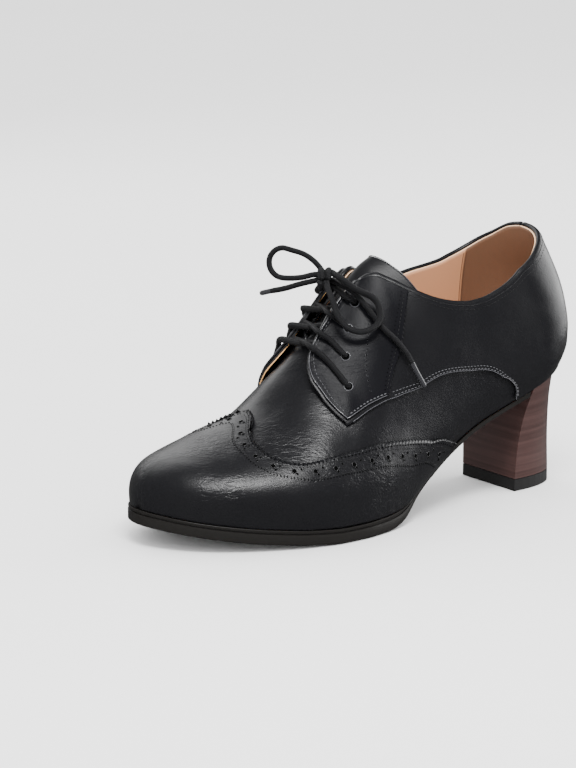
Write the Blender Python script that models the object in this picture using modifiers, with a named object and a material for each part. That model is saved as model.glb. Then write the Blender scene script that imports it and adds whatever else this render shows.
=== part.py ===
"""Heeled derby shoe for the left foot, with wing cap, laced flaps and a stacked block heel.

Lengths in the tables are millimetres. The toe points to -Y, the outer side of the foot is +X,
and the floor is z = 0. A station is a distance from the toe tip of the upper. Past
REAR_STATION it runs round the back of the heel, and ends on the back seam.
"""
import math

import bmesh
import bpy
import numpy as np

MM = 0.001
TIP_Y = -110.6
LINE_X = -3.2
REAR_STATION = 193.0
BACK_STATION = 231.0
BACK_DISTANCE = 218.5
LEAN_START = 138.0
GAP = 0.3

# station, centre line, outer and inner half width at the feather line, the same where widest,
# height of the widest place and of the ridge above the feather line, ridge x, shoulder, crown
SECTIONS = (
    (0.0, -3.0, 0.0, 0.0, 0.0, 0.0, 0.0, 0.0, -3.0, 0.60, 0.62),
    (4.0, -2.9, 12.5, 12.5, 13.0, 13.0, 4.6, 13.0, -3.0, 0.60, 0.62),
    (12.0, -2.6, 23.0, 22.0, 23.8, 22.8, 6.8, 20.8, -3.0, 0.58, 0.62),
    (24.0, -2.0, 31.5, 30.0, 32.6, 31.0, 8.8, 26.0, -3.2, 0.56, 0.60),
    (42.0, -1.0, 39.0, 35.5, 40.6, 37.0, 10.8, 34.0, -3.6, 0.52, 0.54),
    (58.0, 0.0, 43.0, 38.0, 45.0, 39.6, 13.0, 42.8, -4.0, 0.46, 0.46),
    (72.0, 0.0, 45.0, 38.0, 46.5, 40.0, 15.0, 56.5, -4.0, 0.40, 0.38),
    (84.0, 0.0, 44.5, 37.0, 46.0, 39.0, 16.0, 68.5, -3.5, 0.36, 0.34),
    (96.0, 0.0, 42.0, 34.5, 44.2, 37.5, 17.0, 83.0, -3.0, 0.36, 0.33),
    (108.0, 0.0, 38.5, 31.5, 41.0, 34.5, 17.5, 96.0, -3.0, 0.38, 0.34),
    (118.0, 0.0, 35.0, 28.5, 38.0, 32.0, 18.0, 101.5, -2.0, 0.40, 0.38),
    (130.0, 0.0, 31.0, 26.0, 35.0, 30.0, 18.0, 101.0, -1.0, 0.46, 0.48),
    (145.0, 0.0, 28.0, 25.0, 32.5, 28.5, 18.0, 98.0, 0.0, 0.52, 0.62),
    (162.0, 0.0, 26.5, 25.0, 31.0, 28.5, 18.0, 93.0, 0.0, 0.56, 0.70),
    (178.0, 0.0, 27.3, 26.3, 31.0, 29.3, 18.0, 88.0, 0.0, 0.58, 0.72),
    (193.0, 0.0, 27.5, 26.5, 30.6, 29.4, 18.0, 83.0, 0.0, 0.58, 0.72),
)
# station, height of the feather line, where upper and sole meet
FEATHER = (
    (0.0, 16.4), (10.0, 14.2), (20.0, 12.4), (40.0, 9.6), (60.0, 7.7), (76.0, 7.0), (96.0, 7.2),
    (106.0, 8.0), (114.0, 10.2), (122.0, 14.2), (134.0, 21.4), (149.0, 30.2), (163.0, 37.2),
    (178.0, 43.2), (193.0, 48.8), (203.0, 53.0), (213.0, 57.0), (224.0, 60.6),
)
# height fraction, how far back the rear of the upper leans
LEAN = (
    (0.0, 0.0), (0.05, 0.6), (0.10, 2.0), (0.17, 3.5), (0.25, 3.6), (0.32, 2.0), (0.39, -0.8),
    (0.47, -5.2), (0.53, -8.4), (0.58, -10.8), (0.70, -17.0), (1.0, -26.0),
)
# station, how much lower the top line is on the inner side
INNER_DROP = (
    (118.0, 0.0), (135.0, -2.0), (150.0, -4.6), (164.0, -5.0), (176.0, -3.0), (188.0, 0.0),
    (198.0, 2.4), (206.0, 3.2), (213.0, 2.9), (224.0, 0.6), (231.0, 0.0),
)
# station, height of the top line
TOP_LINE = (
    (109.5, 103.0), (112.0, 105.0), (114.5, 106.5), (117.0, 107.0), (120.0, 105.6), (130.0, 99.6),
    (140.0, 95.4), (150.0, 93.5), (157.0, 93.0), (164.0, 93.6), (176.0, 96.6), (188.0, 101.3),
    (198.0, 107.4), (208.0, 113.4), (218.0, 117.2), (224.0, 118.5), (231.0, 119.2),
)
# station, half width of the throat opening of the base under the flaps
THROAT = ((74.0, 0.0), (75.0, 5.0), (78.0, 8.5), (84.0, 10.0), (96.0, 9.5), (112.0, 9.0))
# station, height fraction
FLAP_FRONT = (
    (82.7, 0.540), (79.6, 0.615), (78.1, 0.690), (78.0, 0.760), (80.0, 0.820), (84.0, 0.862),
    (90.0, 0.880), (97.0, 0.890), (103.5, 0.897), (109.5, 0.902),
)
FLAP_SEAM = (
    (82.7, 0.540), (96.2, 0.520), (110.7, 0.475), (122.0, 0.437), (134.4, 0.402), (151.4, 0.335),
    (163.0, 0.290), (171.0, 0.235), (177.0, 0.140), (181.0, 0.030),
)
WING_EDGE = (
    (58.0, 1.0), (56.6, 0.955), (52.3, 0.900), (48.2, 0.830), (45.9, 0.750), (46.0, 0.675),
    (49.1, 0.588), (55.0, 0.525), (66.2, 0.475), (80.4, 0.438), (94.5, 0.400), (113.0, 0.331),
    (133.1, 0.206), (145.5, 0.050),
)
# share of the wing's edge, station where the feather line lies under it
WING_FOOT = ((0.0, 8.4), (0.14, 14.0), (0.29, 30.0), (0.38, 42.0), (0.52, 55.0), (1.0, 145.5))
STAY_REAR = (
    (103.5, 0.480), (104.5, 0.512), (108.5, 0.542), (116.0, 0.577), (121.5, 0.637), (126.5, 0.700),
    (128.0, 0.740),
)
# station, height of the sole's underside
GROUND = (
    (-3.0, 9.8), (10.0, 7.4), (20.0, 5.6), (40.0, 2.7), (60.0, 0.8), (74.0, 0.0), (98.0, 0.0),
    (104.0, 0.5), (110.0, 2.6), (116.0, 6.9), (122.0, 11.6), (134.0, 19.0), (149.0, 27.8),
    (163.0, 34.8), (178.0, 41.0), (193.0, 46.1),
)
# station, how far the sole's edge stands out past the feather line
LEDGE = ((0.0, 2.2), (60.0, 1.9), (96.0, 1.9), (112.0, 1.6), (122.0, 0.8), (193.0, 0.4))

# station, height fraction of each eyelet of a flap, from the toe up
EYELETS = ((88.8, 0.656), (93.1, 0.738), (98.8, 0.798), (105.0, 0.838))
# x, y and z of the bow's routes
KNOT = (-6.2, -12.7, 106.2)
LOOP_OUTER = (
    (-2.2, -15.1, 106.6), (1.6, -18.2, 106.0), (8.3, -19.3, 99.9), (13.4, -20.0, 92.8),
    (17.4, -17.9, 88.2), (20.6, -13.8, 86.3), (22.6, -9.0, 87.2), (22.6, -4.1, 90.6),
    (20.1, -2.8, 96.2), (17.3, -4.0, 100.0), (12.2, -9.5, 103.4), (4.5, -13.4, 108.3),
    (-2.3, -12.8, 109.2),
)
LOOP_INNER = (
    (-7.6, -14.4, 110.4), (-11.0, -15.8, 113.9), (-16.0, -19.8, 117.0), (-20.0, -22.6, 118.2),
    (-24.0, -25.5, 115.8), (-27.0, -27.8, 110.5), (-26.5, -29.2, 105.2), (-21.5, -25.5, 105.6),
    (-18.0, -22.2, 106.4), (-9.8, -15.6, 107.7),
)
END_OUTER = (
    (-1.7, -11.0, 105.0), (3.7, -11.0, 103.9), (8.4, -8.4, 101.9), (16.7, -4.6, 93.2),
    (20.6, -2.6, 88.1), (25.9, 2.2, 81.7), (29.5, 6.1, 75.1), (32.3, 8.5, 68.2), (34.0, 12.2, 60.8),
)
END_INNER = ((-8.6, -15.0, 104.9), (-15.0, -20.5, 102.6), (-20.0, -24.5, 100.4), (-26.0, -29.8, 98.6))

WALL = 1.8
QUARTER_THICKNESS = 1.2
STAY_THICKNESS = 0.9
WING_THICKNESS = 1.1
TONGUE_THICKNESS = 2.2
INSOLE_THICKNESS = 2.5
WIDEST_AT = 0.25
INNER_LIFT = 0.45
HEEL_ROUNDNESS = 2.2
LACE_RADIUS = 1.5
LACING_RISE = 2.0
FLAP_TOP_STATION = 109.5
SEAM_END_STATION = 230.92
FOOT_FRACTION = 0.03
SEAM_POINTS = 19
HEEL_RINGS = 7
RIDGE_COLUMNS = 10
EDGE_COLUMNS = 19
LIFT_HEIGHT = 5.4
# share of height, half width against the seat, station of the breast, station of the back
HEEL_FORM = (
    (0.00, 0.700, 188.6, 219.6), (0.35, 0.735, 189.6, 218.8), (0.70, 0.830, 191.2, 218.4),
    (0.90, 0.930, 192.6, 218.3), (1.00, 0.985, 193.6, 218.2),
)


def smooth(table, at):
    """Value of a two-column table, along a smooth line that never overshoots its rows."""
    rows = np.array(table, float)
    x, y = rows[:, 0], rows[:, 1]
    at = np.clip(np.asarray(at, float), x[0], x[-1])
    step = np.diff(x)
    slope = np.diff(y) / step
    tangent = np.zeros(len(x))
    if len(x) > 2:
        same = slope[:-1] * slope[1:] > 0
        first = 2 * step[1:] + step[:-1]
        second = step[1:] + 2 * step[:-1]
        low = np.where(same, slope[:-1], 1.0)
        high = np.where(same, slope[1:], 1.0)
        tangent[1:-1] = np.where(same, (first + second) / (first / low + second / high), 0.0)
    tangent[0] = slope[0]
    tangent[-1] = slope[-1]
    i = np.clip(np.searchsorted(x, at, side="right") - 1, 0, len(x) - 2)
    t = (at - x[i]) / step[i]
    return (
        (1 + 2 * t) * (1 - t) ** 2 * y[i]
        + t * (1 - t) ** 2 * step[i] * tangent[i]
        + t * t * (3 - 2 * t) * y[i + 1]
        + t * t * (t - 1) * step[i] * tangent[i + 1]
    )


def bezier(a, b, c, d, t):
    return a * (1 - t) ** 3 + 3 * b * t * (1 - t) ** 2 + 3 * c * t * t * (1 - t) + d * t**3


def section_values(station):
    rows = np.array(SECTIONS)
    root = np.sqrt(rows[:, 0])
    at = np.sqrt(np.clip(station, 0.0, None))
    return [smooth(np.stack([root, rows[:, k]], 1), at) for k in range(1, rows.shape[1])]


def shoe_surface(station, height, side):
    """Point of the base surface. Side is 1 for the outer half and -1 for the inner half."""
    station, height = np.broadcast_arrays(np.asarray(station, float), np.asarray(height, float))
    front = np.clip(station, 0.0, REAR_STATION)
    centre, outer_f, inner_f, outer_w, inner_w, *rest = section_values(front)
    widest, ridge, ridge_x, shoulder, crown = rest
    feather_x = centre + (outer_f if side > 0 else -inner_f)
    widest_x = centre + (outer_w if side > 0 else -inner_w)
    base = smooth(FEATHER, front)
    low = np.clip(height / WIDEST_AT, 0, 1)
    high = np.clip((height - WIDEST_AT) / (1 - WIDEST_AT), 0, 1)
    low_x = bezier(feather_x, feather_x + (widest_x - feather_x) * 0.6, widest_x, widest_x, low)
    low_z = bezier(0.0, widest * 0.25, widest * 0.62, widest, low)
    high_x = bezier(widest_x, widest_x, ridge_x + (widest_x - ridge_x) * crown, ridge_x, high)
    high_z = bezier(widest, widest + (ridge - widest) * shoulder, ridge, ridge, high)
    x = np.where(height < WIDEST_AT, low_x, high_x)
    z = base + np.where(height < WIDEST_AT, low_z, high_z)
    turn = np.clip((station - REAR_STATION) / (BACK_STATION - REAR_STATION), 0, 1) * math.pi / 2
    along = np.sin(turn) ** (2 / HEEL_ROUNDNESS)
    across = np.where(turn >= math.pi / 2 - 1e-9, 0.0, np.abs(np.cos(turn)) ** (2 / HEEL_ROUNDNESS))
    behind = station > REAR_STATION
    y = front + (BACK_DISTANCE - REAR_STATION) * np.where(behind, along, 0.0)
    z = np.where(behind, z + smooth(FEATHER, y) - smooth(FEATHER, REAR_STATION), z)
    ramp = np.clip((station - LEAN_START) / (REAR_STATION - LEAN_START), 0, 1)
    y = y + smooth(LEAN, height) * ramp * ramp * (3 - 2 * ramp)
    x = np.where(behind, x * across, x)
    return np.stack([x + LINE_X, y + TIP_Y, z], -1)


def outward(station, height, side):
    """Unit normal of the base surface, away from the foot."""
    station = np.asarray(station, float)
    height = np.asarray(height, float)
    d = 0.3
    e = 0.004
    back = np.minimum(station + d, BACK_STATION)
    fore = np.maximum(station - d, 0.05)
    along = shoe_surface(back, height, side) - shoe_surface(fore, height, side)
    up = shoe_surface(station, np.minimum(height + e, 1.0), side) - shoe_surface(
        station, np.maximum(height - e, 0.0), side
    )
    normal = np.cross(along, up) * -side
    length = np.linalg.norm(normal, axis=-1, keepdims=True)
    return -normal / np.maximum(length, 1e-9)


def raised(station, height, side, by):
    by = np.asarray(by, float)
    normal = outward(station, height, side)
    return shoe_surface(station, height, side) + normal * by[..., None]


def height_where(station, side, axis, target):
    """Lowest height fraction, one for each station, where a coordinate passes the target."""
    trial = np.linspace(0, 1, 301)
    found = []
    for s, want in zip(np.atleast_1d(station), np.atleast_1d(target)):
        points = shoe_surface(np.full(301, s), trial, side)
        value = points[:, 2] if axis == "z" else -abs(points[:, 0] - points[-1, 0])
        value = np.maximum.accumulate(value) + trial * 1e-6
        found.append(np.interp(want, value, trial))
    return np.array(found)


def stations(first, last, count):
    """Stations that crowd towards the toe, where the outline turns most."""
    return np.linspace(math.sqrt(first), math.sqrt(last), count) ** 2


def material(name, colour, roughness):
    made = bpy.data.materials.new(name)
    made.use_nodes = True
    shader = made.node_tree.nodes["Principled BSDF"]
    shader.inputs["Base Color"].default_value = (*colour, 1.0)
    shader.inputs["Roughness"].default_value = roughness
    return made


def new_object(name, points, faces, look):
    """Mesh object from millimetre points. Points that coincide become one."""
    mesh = bpy.data.meshes.new(name)
    mesh.from_pydata([tuple(p) for p in np.asarray(points) * MM], [], faces)
    build = bmesh.new()
    build.from_mesh(mesh)
    bmesh.ops.remove_doubles(build, verts=build.verts, dist=0.00002)
    bmesh.ops.recalc_face_normals(build, faces=build.faces)
    build.to_mesh(mesh)
    build.free()
    mesh.materials.append(look)
    for polygon in mesh.polygons:
        polygon.use_smooth = True
    made = bpy.data.objects.new(name, mesh)
    PARTS.objects.link(made)
    return made


def grid_faces(rows, columns, start=0):
    faces = []
    for i in range(rows - 1):
        for j in range(columns - 1):
            a = start + i * columns + j
            faces.append((a, a + 1, a + columns + 1, a + columns))
    return faces


def thicken(made, thickness):
    """Gives a sheet its thickness, inwards from the drawn face."""
    solid = made.modifiers.new("thickness", "SOLIDIFY")
    solid.thickness = thickness * MM
    solid.offset = -1.0
    solid.use_even_offset = False
    solid.use_rim = True
    return made


def sheet(name, points, thickness, look):
    """Sheet from a grid of points, drawn on its outer face."""
    rows, columns = points.shape[:2]
    made = new_object(name, points.reshape(-1, 3), grid_faces(rows, columns), look)
    middle = points[rows // 2, columns // 2]
    return face_out(made, middle, thickness)


def face_out(made, middle, thickness):
    """Turns the faces away from the foot, then thickens."""
    mesh = made.data
    core = np.array([LINE_X, 0.0, 45.0])
    core[1] = np.clip(middle[1], TIP_Y + 40, TIP_Y + 190)
    core *= MM
    total = 0.0
    for polygon in mesh.polygons:
        total += float(np.dot(np.array(polygon.normal), np.array(polygon.center) - core)) * polygon.area
    if total < 0:
        mesh.flip_normals()
    return thicken(made, thickness)


def loft(name, sections, look):
    """Closed solid through closed sections with the same number of points."""
    count, around = sections.shape[:2]
    faces = []
    for i in range(count - 1):
        for j in range(around):
            a = i * around + j
            b = i * around + (j + 1) % around
            faces.append((a, b, b + around, a + around))
    faces.append(tuple(range(around)))
    faces.append(tuple(range((count - 1) * around, count * around)))
    return new_object(name, sections.reshape(-1, 3), faces, look)


def top_height(station, side):
    drop = smooth(INNER_DROP, station) if side < 0 else 0.0
    return smooth(TOP_LINE, station) - drop


def upper_top(station, side):
    """Height fraction where the base of the upper ends."""
    low = np.ones(len(station))
    open_part = (station >= 74.0) & (station <= 116.0)
    width = smooth(THROAT, station[open_part])
    low[open_part] = height_where(station[open_part], side, "x", -width)
    collar = station >= 110.0
    edge = height_where(station[collar], side, "z", top_height(station[collar], side))
    low[collar] = np.minimum(low[collar], edge)
    return low


def make_upper(look):
    front = stations(1.0, 70.0, 13)
    throat = np.array([74.0, 75.0, 77.0, 80.0, 84.0, 89.0, 94.0, 99.0, 104.0, 108.0, 111.0, 114.0])
    waist = np.array([119.0, 125.0, 132.0, 140.0, 149.0, 158.0, 167.0, 176.0, 185.0])
    rear = np.linspace(193.0, 231.0, 9)
    columns = np.concatenate([[0.0], front, throat, waist, rear])
    rise = np.linspace(0, 1, 9)
    halves = []
    for side in (1, -1):
        top = upper_top(columns, side)
        grid = shoe_surface(columns[:, None] + 0 * rise, top[:, None] * rise, side)
        halves.append(grid)
    points = np.concatenate([halves[0].reshape(-1, 3), halves[1].reshape(-1, 3)])
    count = len(columns) * len(rise)
    faces = grid_faces(len(columns), len(rise)) + grid_faces(len(columns), len(rise), count)
    made = new_object("upper", points, faces, look)
    return face_out(made, np.array([0.0, 0.0, 60.0]), WALL)


def along_table(table, count):
    """Points spread evenly along a table of station and height fraction."""
    rows = np.array(table, float)
    scaled = rows * (1.0, 100.0)
    run = np.concatenate([[0.0], np.cumsum(np.linalg.norm(np.diff(scaled, axis=0), axis=1))])
    at = np.linspace(0, run[-1], count)
    return np.stack([smooth(np.stack([run, rows[:, k]], 1), at) for k in (0, 1)], 1)


def patch(bottom, top, front, rear):
    """Grid of station and height fraction between four border lines."""
    t = np.linspace(0, 1, len(bottom))[:, None, None]
    s = np.linspace(0, 1, len(front))[None, :, None]
    straight = (1 - s) * bottom[:, None] + s * top[:, None]
    start = (1 - s[0]) * bottom[0] + s[0] * top[0]
    finish = (1 - s[0]) * bottom[-1] + s[0] * top[-1]
    return straight + (1 - t) ** 2 * (front - start)[None] + t**2 * (rear - finish)[None]


def top_edge(first, last, count, side):
    at = np.linspace(first, last, count)
    high = height_where(at, side, "z", top_height(at, side))
    return np.stack([at, high], 1)


def flap_lift(grid):
    """How far the front of a flap stands off the instep."""
    edge = np.array(FLAP_FRONT[:8])
    front = np.interp(grid[..., 1], edge[:, 1], edge[:, 0])
    back = np.clip((grid[..., 0] - front) / 26.0, 0, 1)
    tall = np.clip((grid[..., 1] - 0.58) / 0.26, 0, 1)
    return 4.2 * (1 - back) ** 2 * (tall * tall * (3 - 2 * tall))


def quarter_grid(side, count, rows):
    """Station and height fraction over a quarter, from the flap's front to the back seam."""
    seam = along_table(FLAP_SEAM, SEAM_POINTS)
    foot_station = np.linspace(seam[-1, 0], SEAM_END_STATION, count - SEAM_POINTS + 1)[1:]
    foot = np.stack([foot_station, np.full(len(foot_station), FOOT_FRACTION)], 1)
    bottom = np.concatenate([seam, foot])
    top = top_edge(FLAP_TOP_STATION, SEAM_END_STATION, count, side)
    front = along_table(FLAP_FRONT, rows)
    top[0] = front[-1]
    rear = np.stack([np.full(rows, SEAM_END_STATION), np.linspace(FOOT_FRACTION, top[-1, 1], rows)], 1)
    return patch(bottom, top, front, rear)


def make_quarter(name, side, look):
    grid = quarter_grid(side, 30, 11)
    lift = flap_lift(grid) if side > 0 else INNER_LIFT * flap_lift(grid)
    points = raised(grid[..., 0], grid[..., 1], side, GAP + 0.1 + QUARTER_THICKNESS + lift)
    return sheet(name, points, QUARTER_THICKNESS, look)


def make_stay(name, side, look):
    """Facing of the flap, its rear edge across the quarter."""
    count, rows = 6, 11
    quarter = quarter_grid(side, 30, rows)
    rear = np.array(STAY_REAR)
    grid = np.zeros((count, rows, 2))
    for j in range(rows):
        row = quarter[:, j]
        border = np.interp(row[:, 1], rear[:, 1], rear[:, 0])
        past = row[:, 0] - border
        k = int(np.argmax(past > 0))
        part = past[k - 1] / (past[k - 1] - past[k])
        last = k - 1 + part
        at = np.array([0.0, 1.0, 2.0, 3.0, (3.0 + last) / 2, last])
        for axis in (0, 1):
            grid[:, j, axis] = np.interp(at, np.arange(len(row)), row[:, axis])
    lift = flap_lift(grid) if side > 0 else INNER_LIFT * flap_lift(grid)
    by = 2 * GAP + 0.3 + QUARTER_THICKNESS + STAY_THICKNESS + lift
    return sheet(name, raised(grid[..., 0], grid[..., 1], side, by), STAY_THICKNESS, look)


def make_wing(look):
    ridge = stations(1.0, 56.0, RIDGE_COLUMNS)
    edge = along_table(WING_EDGE, EDGE_COLUMNS)
    top = np.concatenate([np.stack([ridge, np.ones(RIDGE_COLUMNS)], 1), edge])
    share = np.concatenate([np.zeros(RIDGE_COLUMNS), np.linspace(0, 1, EDGE_COLUMNS)])
    below_edge = np.interp(share[RIDGE_COLUMNS:], *np.array(WING_FOOT).T)
    foot_station = np.concatenate([8.0 * (ridge / 56.0) ** 0.8, below_edge])
    foot = np.stack([foot_station, np.full(len(foot_station), 0.012)], 1)
    rise = np.linspace(0, 1, 9)
    halves = []
    for side in (1, -1):
        bend = np.interp(share, [0.0, 0.14, 0.43, 1.0], [1.9, 1.9, 1.0, 1.0])[:, None]
        station = foot[:, :1] + (top - foot)[:, :1] * rise[None] ** bend
        height = foot[:, 1:] + (top - foot)[:, 1:] * rise[None]
        points = raised(station, height, side, np.full(station.shape, GAP + 0.15 + WING_THICKNESS))
        halves.append(points)
    seam = (halves[0][: RIDGE_COLUMNS + 1, -1] + halves[1][: RIDGE_COLUMNS + 1, -1]) / 2
    halves[0][: RIDGE_COLUMNS + 1, -1] = seam
    halves[1][: RIDGE_COLUMNS + 1, -1] = seam
    nose = shoe_surface(0.0, 0.0, 1) + np.array([0.0, -(GAP + WING_THICKNESS), 1.2])
    points = np.concatenate([halves[0].reshape(-1, 3), halves[1].reshape(-1, 3), [nose]])
    rows, columns = halves[0].shape[:2]
    count = rows * columns
    faces = grid_faces(rows, columns) + grid_faces(rows, columns, count)
    last = 2 * count
    for j in range(columns - 1):
        faces.append((last, j, j + 1))
        faces.append((last, count + j + 1, count + j))
    made = new_object("wing_cap", points, faces, look)
    return face_out(made, np.array([0.0, TIP_Y + 60.0, 30.0]), WING_THICKNESS)


def make_tongue(look):
    across = np.linspace(-1, 1, 15)
    along = np.linspace(0, 1, 14)
    grids = []
    for side in (1, -1):
        q = np.abs(across[across >= 0] if side > 0 else across[across <= 0][::-1])
        last = 121.5 + 10.5 * q**1.6
        station = 71.0 + along[:, None] * (last[None] - 71.0)
        half = np.interp(station, [71.0, 84.0, 104.0, 131.0], [12.0, 14.5, 17.0, 21.5])
        edge = np.stack([
            height_where(station[:, k], side, "x", -half[:, k] * q[k]) for k in range(len(q))
        ], 1)
        edge[:, 0] = 1.0
        grids.append(raised(station, edge, side, np.full(station.shape, -(WALL + GAP + 0.15))))
    points = np.concatenate([grids[1][:, :0:-1], grids[0]], 1)
    return sheet("tongue", points, TONGUE_THICKNESS, look)


def side_point(station, side, out):
    """Plan point that stands out from the feather line by a distance along its plan normal."""
    station = np.asarray(station, float)
    here = shoe_surface(station, 0.0, side)[..., :2]
    after = shoe_surface(np.minimum(station + 0.4, BACK_STATION), 0.0, side)[..., :2]
    before = shoe_surface(np.maximum(station - 0.4, 0.0), 0.0, side)[..., :2]
    run = after - before
    normal = np.stack([run[..., 1], -run[..., 0]], -1) * side
    tip = (station <= 0.0)[..., None]
    normal = np.where(tip, np.array([0.0, -1.0]), normal)
    back = (station >= BACK_STATION - 1e-6)[..., None]
    normal = np.where(back, np.array([0.0, 1.0]), normal)
    normal = normal / np.linalg.norm(normal, axis=-1, keepdims=True)
    return here + normal * np.asarray(out, float)[..., None]


def make_outsole(look):
    breast = [102.0, 106.0, 110.0, 114.0, 118.0, 122.0]
    shank = [128.0, 135.0, 143.0, 151.0, 160.0, 170.0, 181.0, 191.0]
    columns = np.concatenate([[0.0], stations(0.6, 98.0, 20), breast, shank])
    ledge = smooth(LEDGE, columns)
    top = smooth(FEATHER, columns) - GAP
    low = smooth(GROUND, columns)
    deep = top - low
    full = np.clip((deep - 2.2) / 4.0, 0, 1)
    levels = (
        (0.00, -0.50), (0.00, 0.00), (0.16, 0.00), (0.20, -0.55), (0.27, -0.55), (0.31, 0.15),
        (0.88, 0.15), (1.00, -0.80), (1.00, -12.0),
    )
    sections = []
    for side in (1, -1):
        chain = []
        for share, out in levels:
            shift = out if out < -5 else out * full
            plan = side_point(columns, side, ledge + shift)
            if out < -5:
                toe = np.clip(columns / 12.0, 0, 1)
                plan = side_point(columns, side, ledge - 1.0 + (out + 1.0) * toe)
            chain.append(np.concatenate([plan, (top - share * deep)[:, None]], 1))
        sections.append(np.stack(chain, 1))
    middle_top = (sections[0][:, 0] + sections[1][:, 0]) / 2
    ring = np.concatenate([middle_top[:, None], sections[0], sections[1][:, ::-1]], 1)
    return loft("outsole", ring, look)


def make_insole(look):
    waist = np.linspace(106.0, 186.0, 8)
    seat = np.linspace(REAR_STATION, BACK_STATION, 9)
    columns = np.concatenate([stations(1.5, 96.0, 12), waist, seat])
    inset = WALL + 0.6
    sections = []
    for side in (1, -1):
        plan = side_point(columns, side, np.full(len(columns), -inset))
        z = smooth(FEATHER, plan[:, 1] - TIP_Y)
        low = np.concatenate([plan, (z + 0.1)[:, None]], 1)
        high = np.concatenate([plan, (z + 0.1 + INSOLE_THICKNESS)[:, None]], 1)
        sections.append((low, high))
    (ol, oh), (il, ih) = sections
    ring = np.stack([ol, oh, (oh + ih) / 2, ih, il, (ol + il) / 2], 1)
    return loft("insole", ring, look)


def heel_ring(share, z_low):
    """Outline of the heel at a share of its height, from the breast round the back."""
    form = np.array(HEEL_FORM)
    width, breast, back = [smooth(form[:, (0, k)], share) for k in (1, 2, 3)]
    at = np.concatenate([[193.6], np.linspace(197.0, 231.0, 11)])
    points = []
    for side in (1, -1):
        seat = shoe_surface(at, 0.0, side)
        x = LINE_X + 1.2 * (1 - share) + (seat[:, 0] - LINE_X) * width
        station = seat[:, 1] - TIP_Y
        run = (station - station[0]) / (station[-1] - station[0])
        y = TIP_Y + breast + run * (back - breast)
        seat_z = smooth(FEATHER, y - TIP_Y) - GAP - 0.1
        z = z_low + (seat_z - z_low) * share
        points.append(np.stack([x, y, z], 1))
    return points


def make_heel(look):
    """Solid through the heel's rings, its top following the seat."""
    rings = [heel_ring(share, LIFT_HEIGHT + GAP) for share in np.linspace(0, 1, HEEL_RINGS)]
    outer = np.stack([ring[0] for ring in rings], 1)
    inner = np.stack([ring[1] for ring in rings], 1)
    return loft("heel_block", np.concatenate([outer, inner[:, ::-1]], 1), look)


def make_lift(look):
    """The rubber piece under the heel, with flat faces."""
    low_outer, low_inner = heel_ring(0.0, 0.0)
    up = np.array([0.0, 0.0, LIFT_HEIGHT])
    outer = np.stack([low_outer, low_outer + up], 1)
    inner = np.stack([low_inner, low_inner + up], 1)
    return loft("top_piece", np.concatenate([outer, inner[:, ::-1]], 1), look)


def smooth_route(points, step):
    """Evenly spaced points on a smooth curve through the given ones."""
    route = np.array(points, float)
    run = np.concatenate([[0.0], np.cumsum(np.linalg.norm(np.diff(route, axis=0), axis=1))])
    before = 2 * route[0] - route[1]
    after = 2 * route[-1] - route[-2]
    wide = np.concatenate([[before], route, [after]])
    at = np.linspace(0, run[-1], max(int(run[-1] / step), 4))
    made = []
    for value in at:
        i = min(int(np.searchsorted(run, value, side="right")) - 1, len(route) - 2)
        t = (value - run[i]) / (run[i + 1] - run[i])
        a, b, c, d = wide[i : i + 4]
        square = (2 * a - 5 * b + 4 * c - d) * t**2
        cube = (3 * b - a - 3 * c + d) * t**3
        made.append(0.5 * (2 * b + (c - a) * t + square + cube))
    return np.array(made)


def cord(name, points, radius, look, step=6.0, roundness=2):
    """Round cord along a route, its ends closed."""
    route = smooth_route(points, step)
    data = bpy.data.curves.new(name, "CURVE")
    data.dimensions = "3D"
    data.bevel_depth = radius * MM
    data.bevel_resolution = roundness
    data.use_fill_caps = True
    line = data.splines.new("POLY")
    line.points.add(len(route) - 1)
    for point, place in zip(line.points, route):
        point.co = (*(place * MM), 1.0)
    data.materials.append(look)
    made = bpy.data.objects.new(name, data)
    PARTS.objects.link(made)
    return made


def as_mesh(curve_object):
    """Mesh copy of a cord, its caps welded; the curve is removed."""
    bpy.context.view_layer.update()
    graph = bpy.context.evaluated_depsgraph_get()
    mesh = bpy.data.meshes.new_from_object(curve_object.evaluated_get(graph))
    build = bmesh.new()
    build.from_mesh(mesh)
    bmesh.ops.remove_doubles(build, verts=build.verts, dist=0.00001)
    bmesh.ops.recalc_face_normals(build, faces=build.faces)
    build.to_mesh(mesh)
    build.free()
    name = curve_object.name
    bpy.data.objects.remove(curve_object)
    made = bpy.data.objects.new(name, mesh)
    PARTS.objects.link(made)
    return made


def flap_point(station, height, side, above):
    """Point above the facing of a flap."""
    at = np.array([[station, height]])
    lift = float(flap_lift(at)[0]) * (1.0 if side > 0 else INNER_LIFT)
    by = 2 * GAP + 0.3 + QUARTER_THICKNESS + STAY_THICKNESS + lift + above
    return raised(at[:, 0], at[:, 1], side, np.array([by]))[0]


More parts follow.
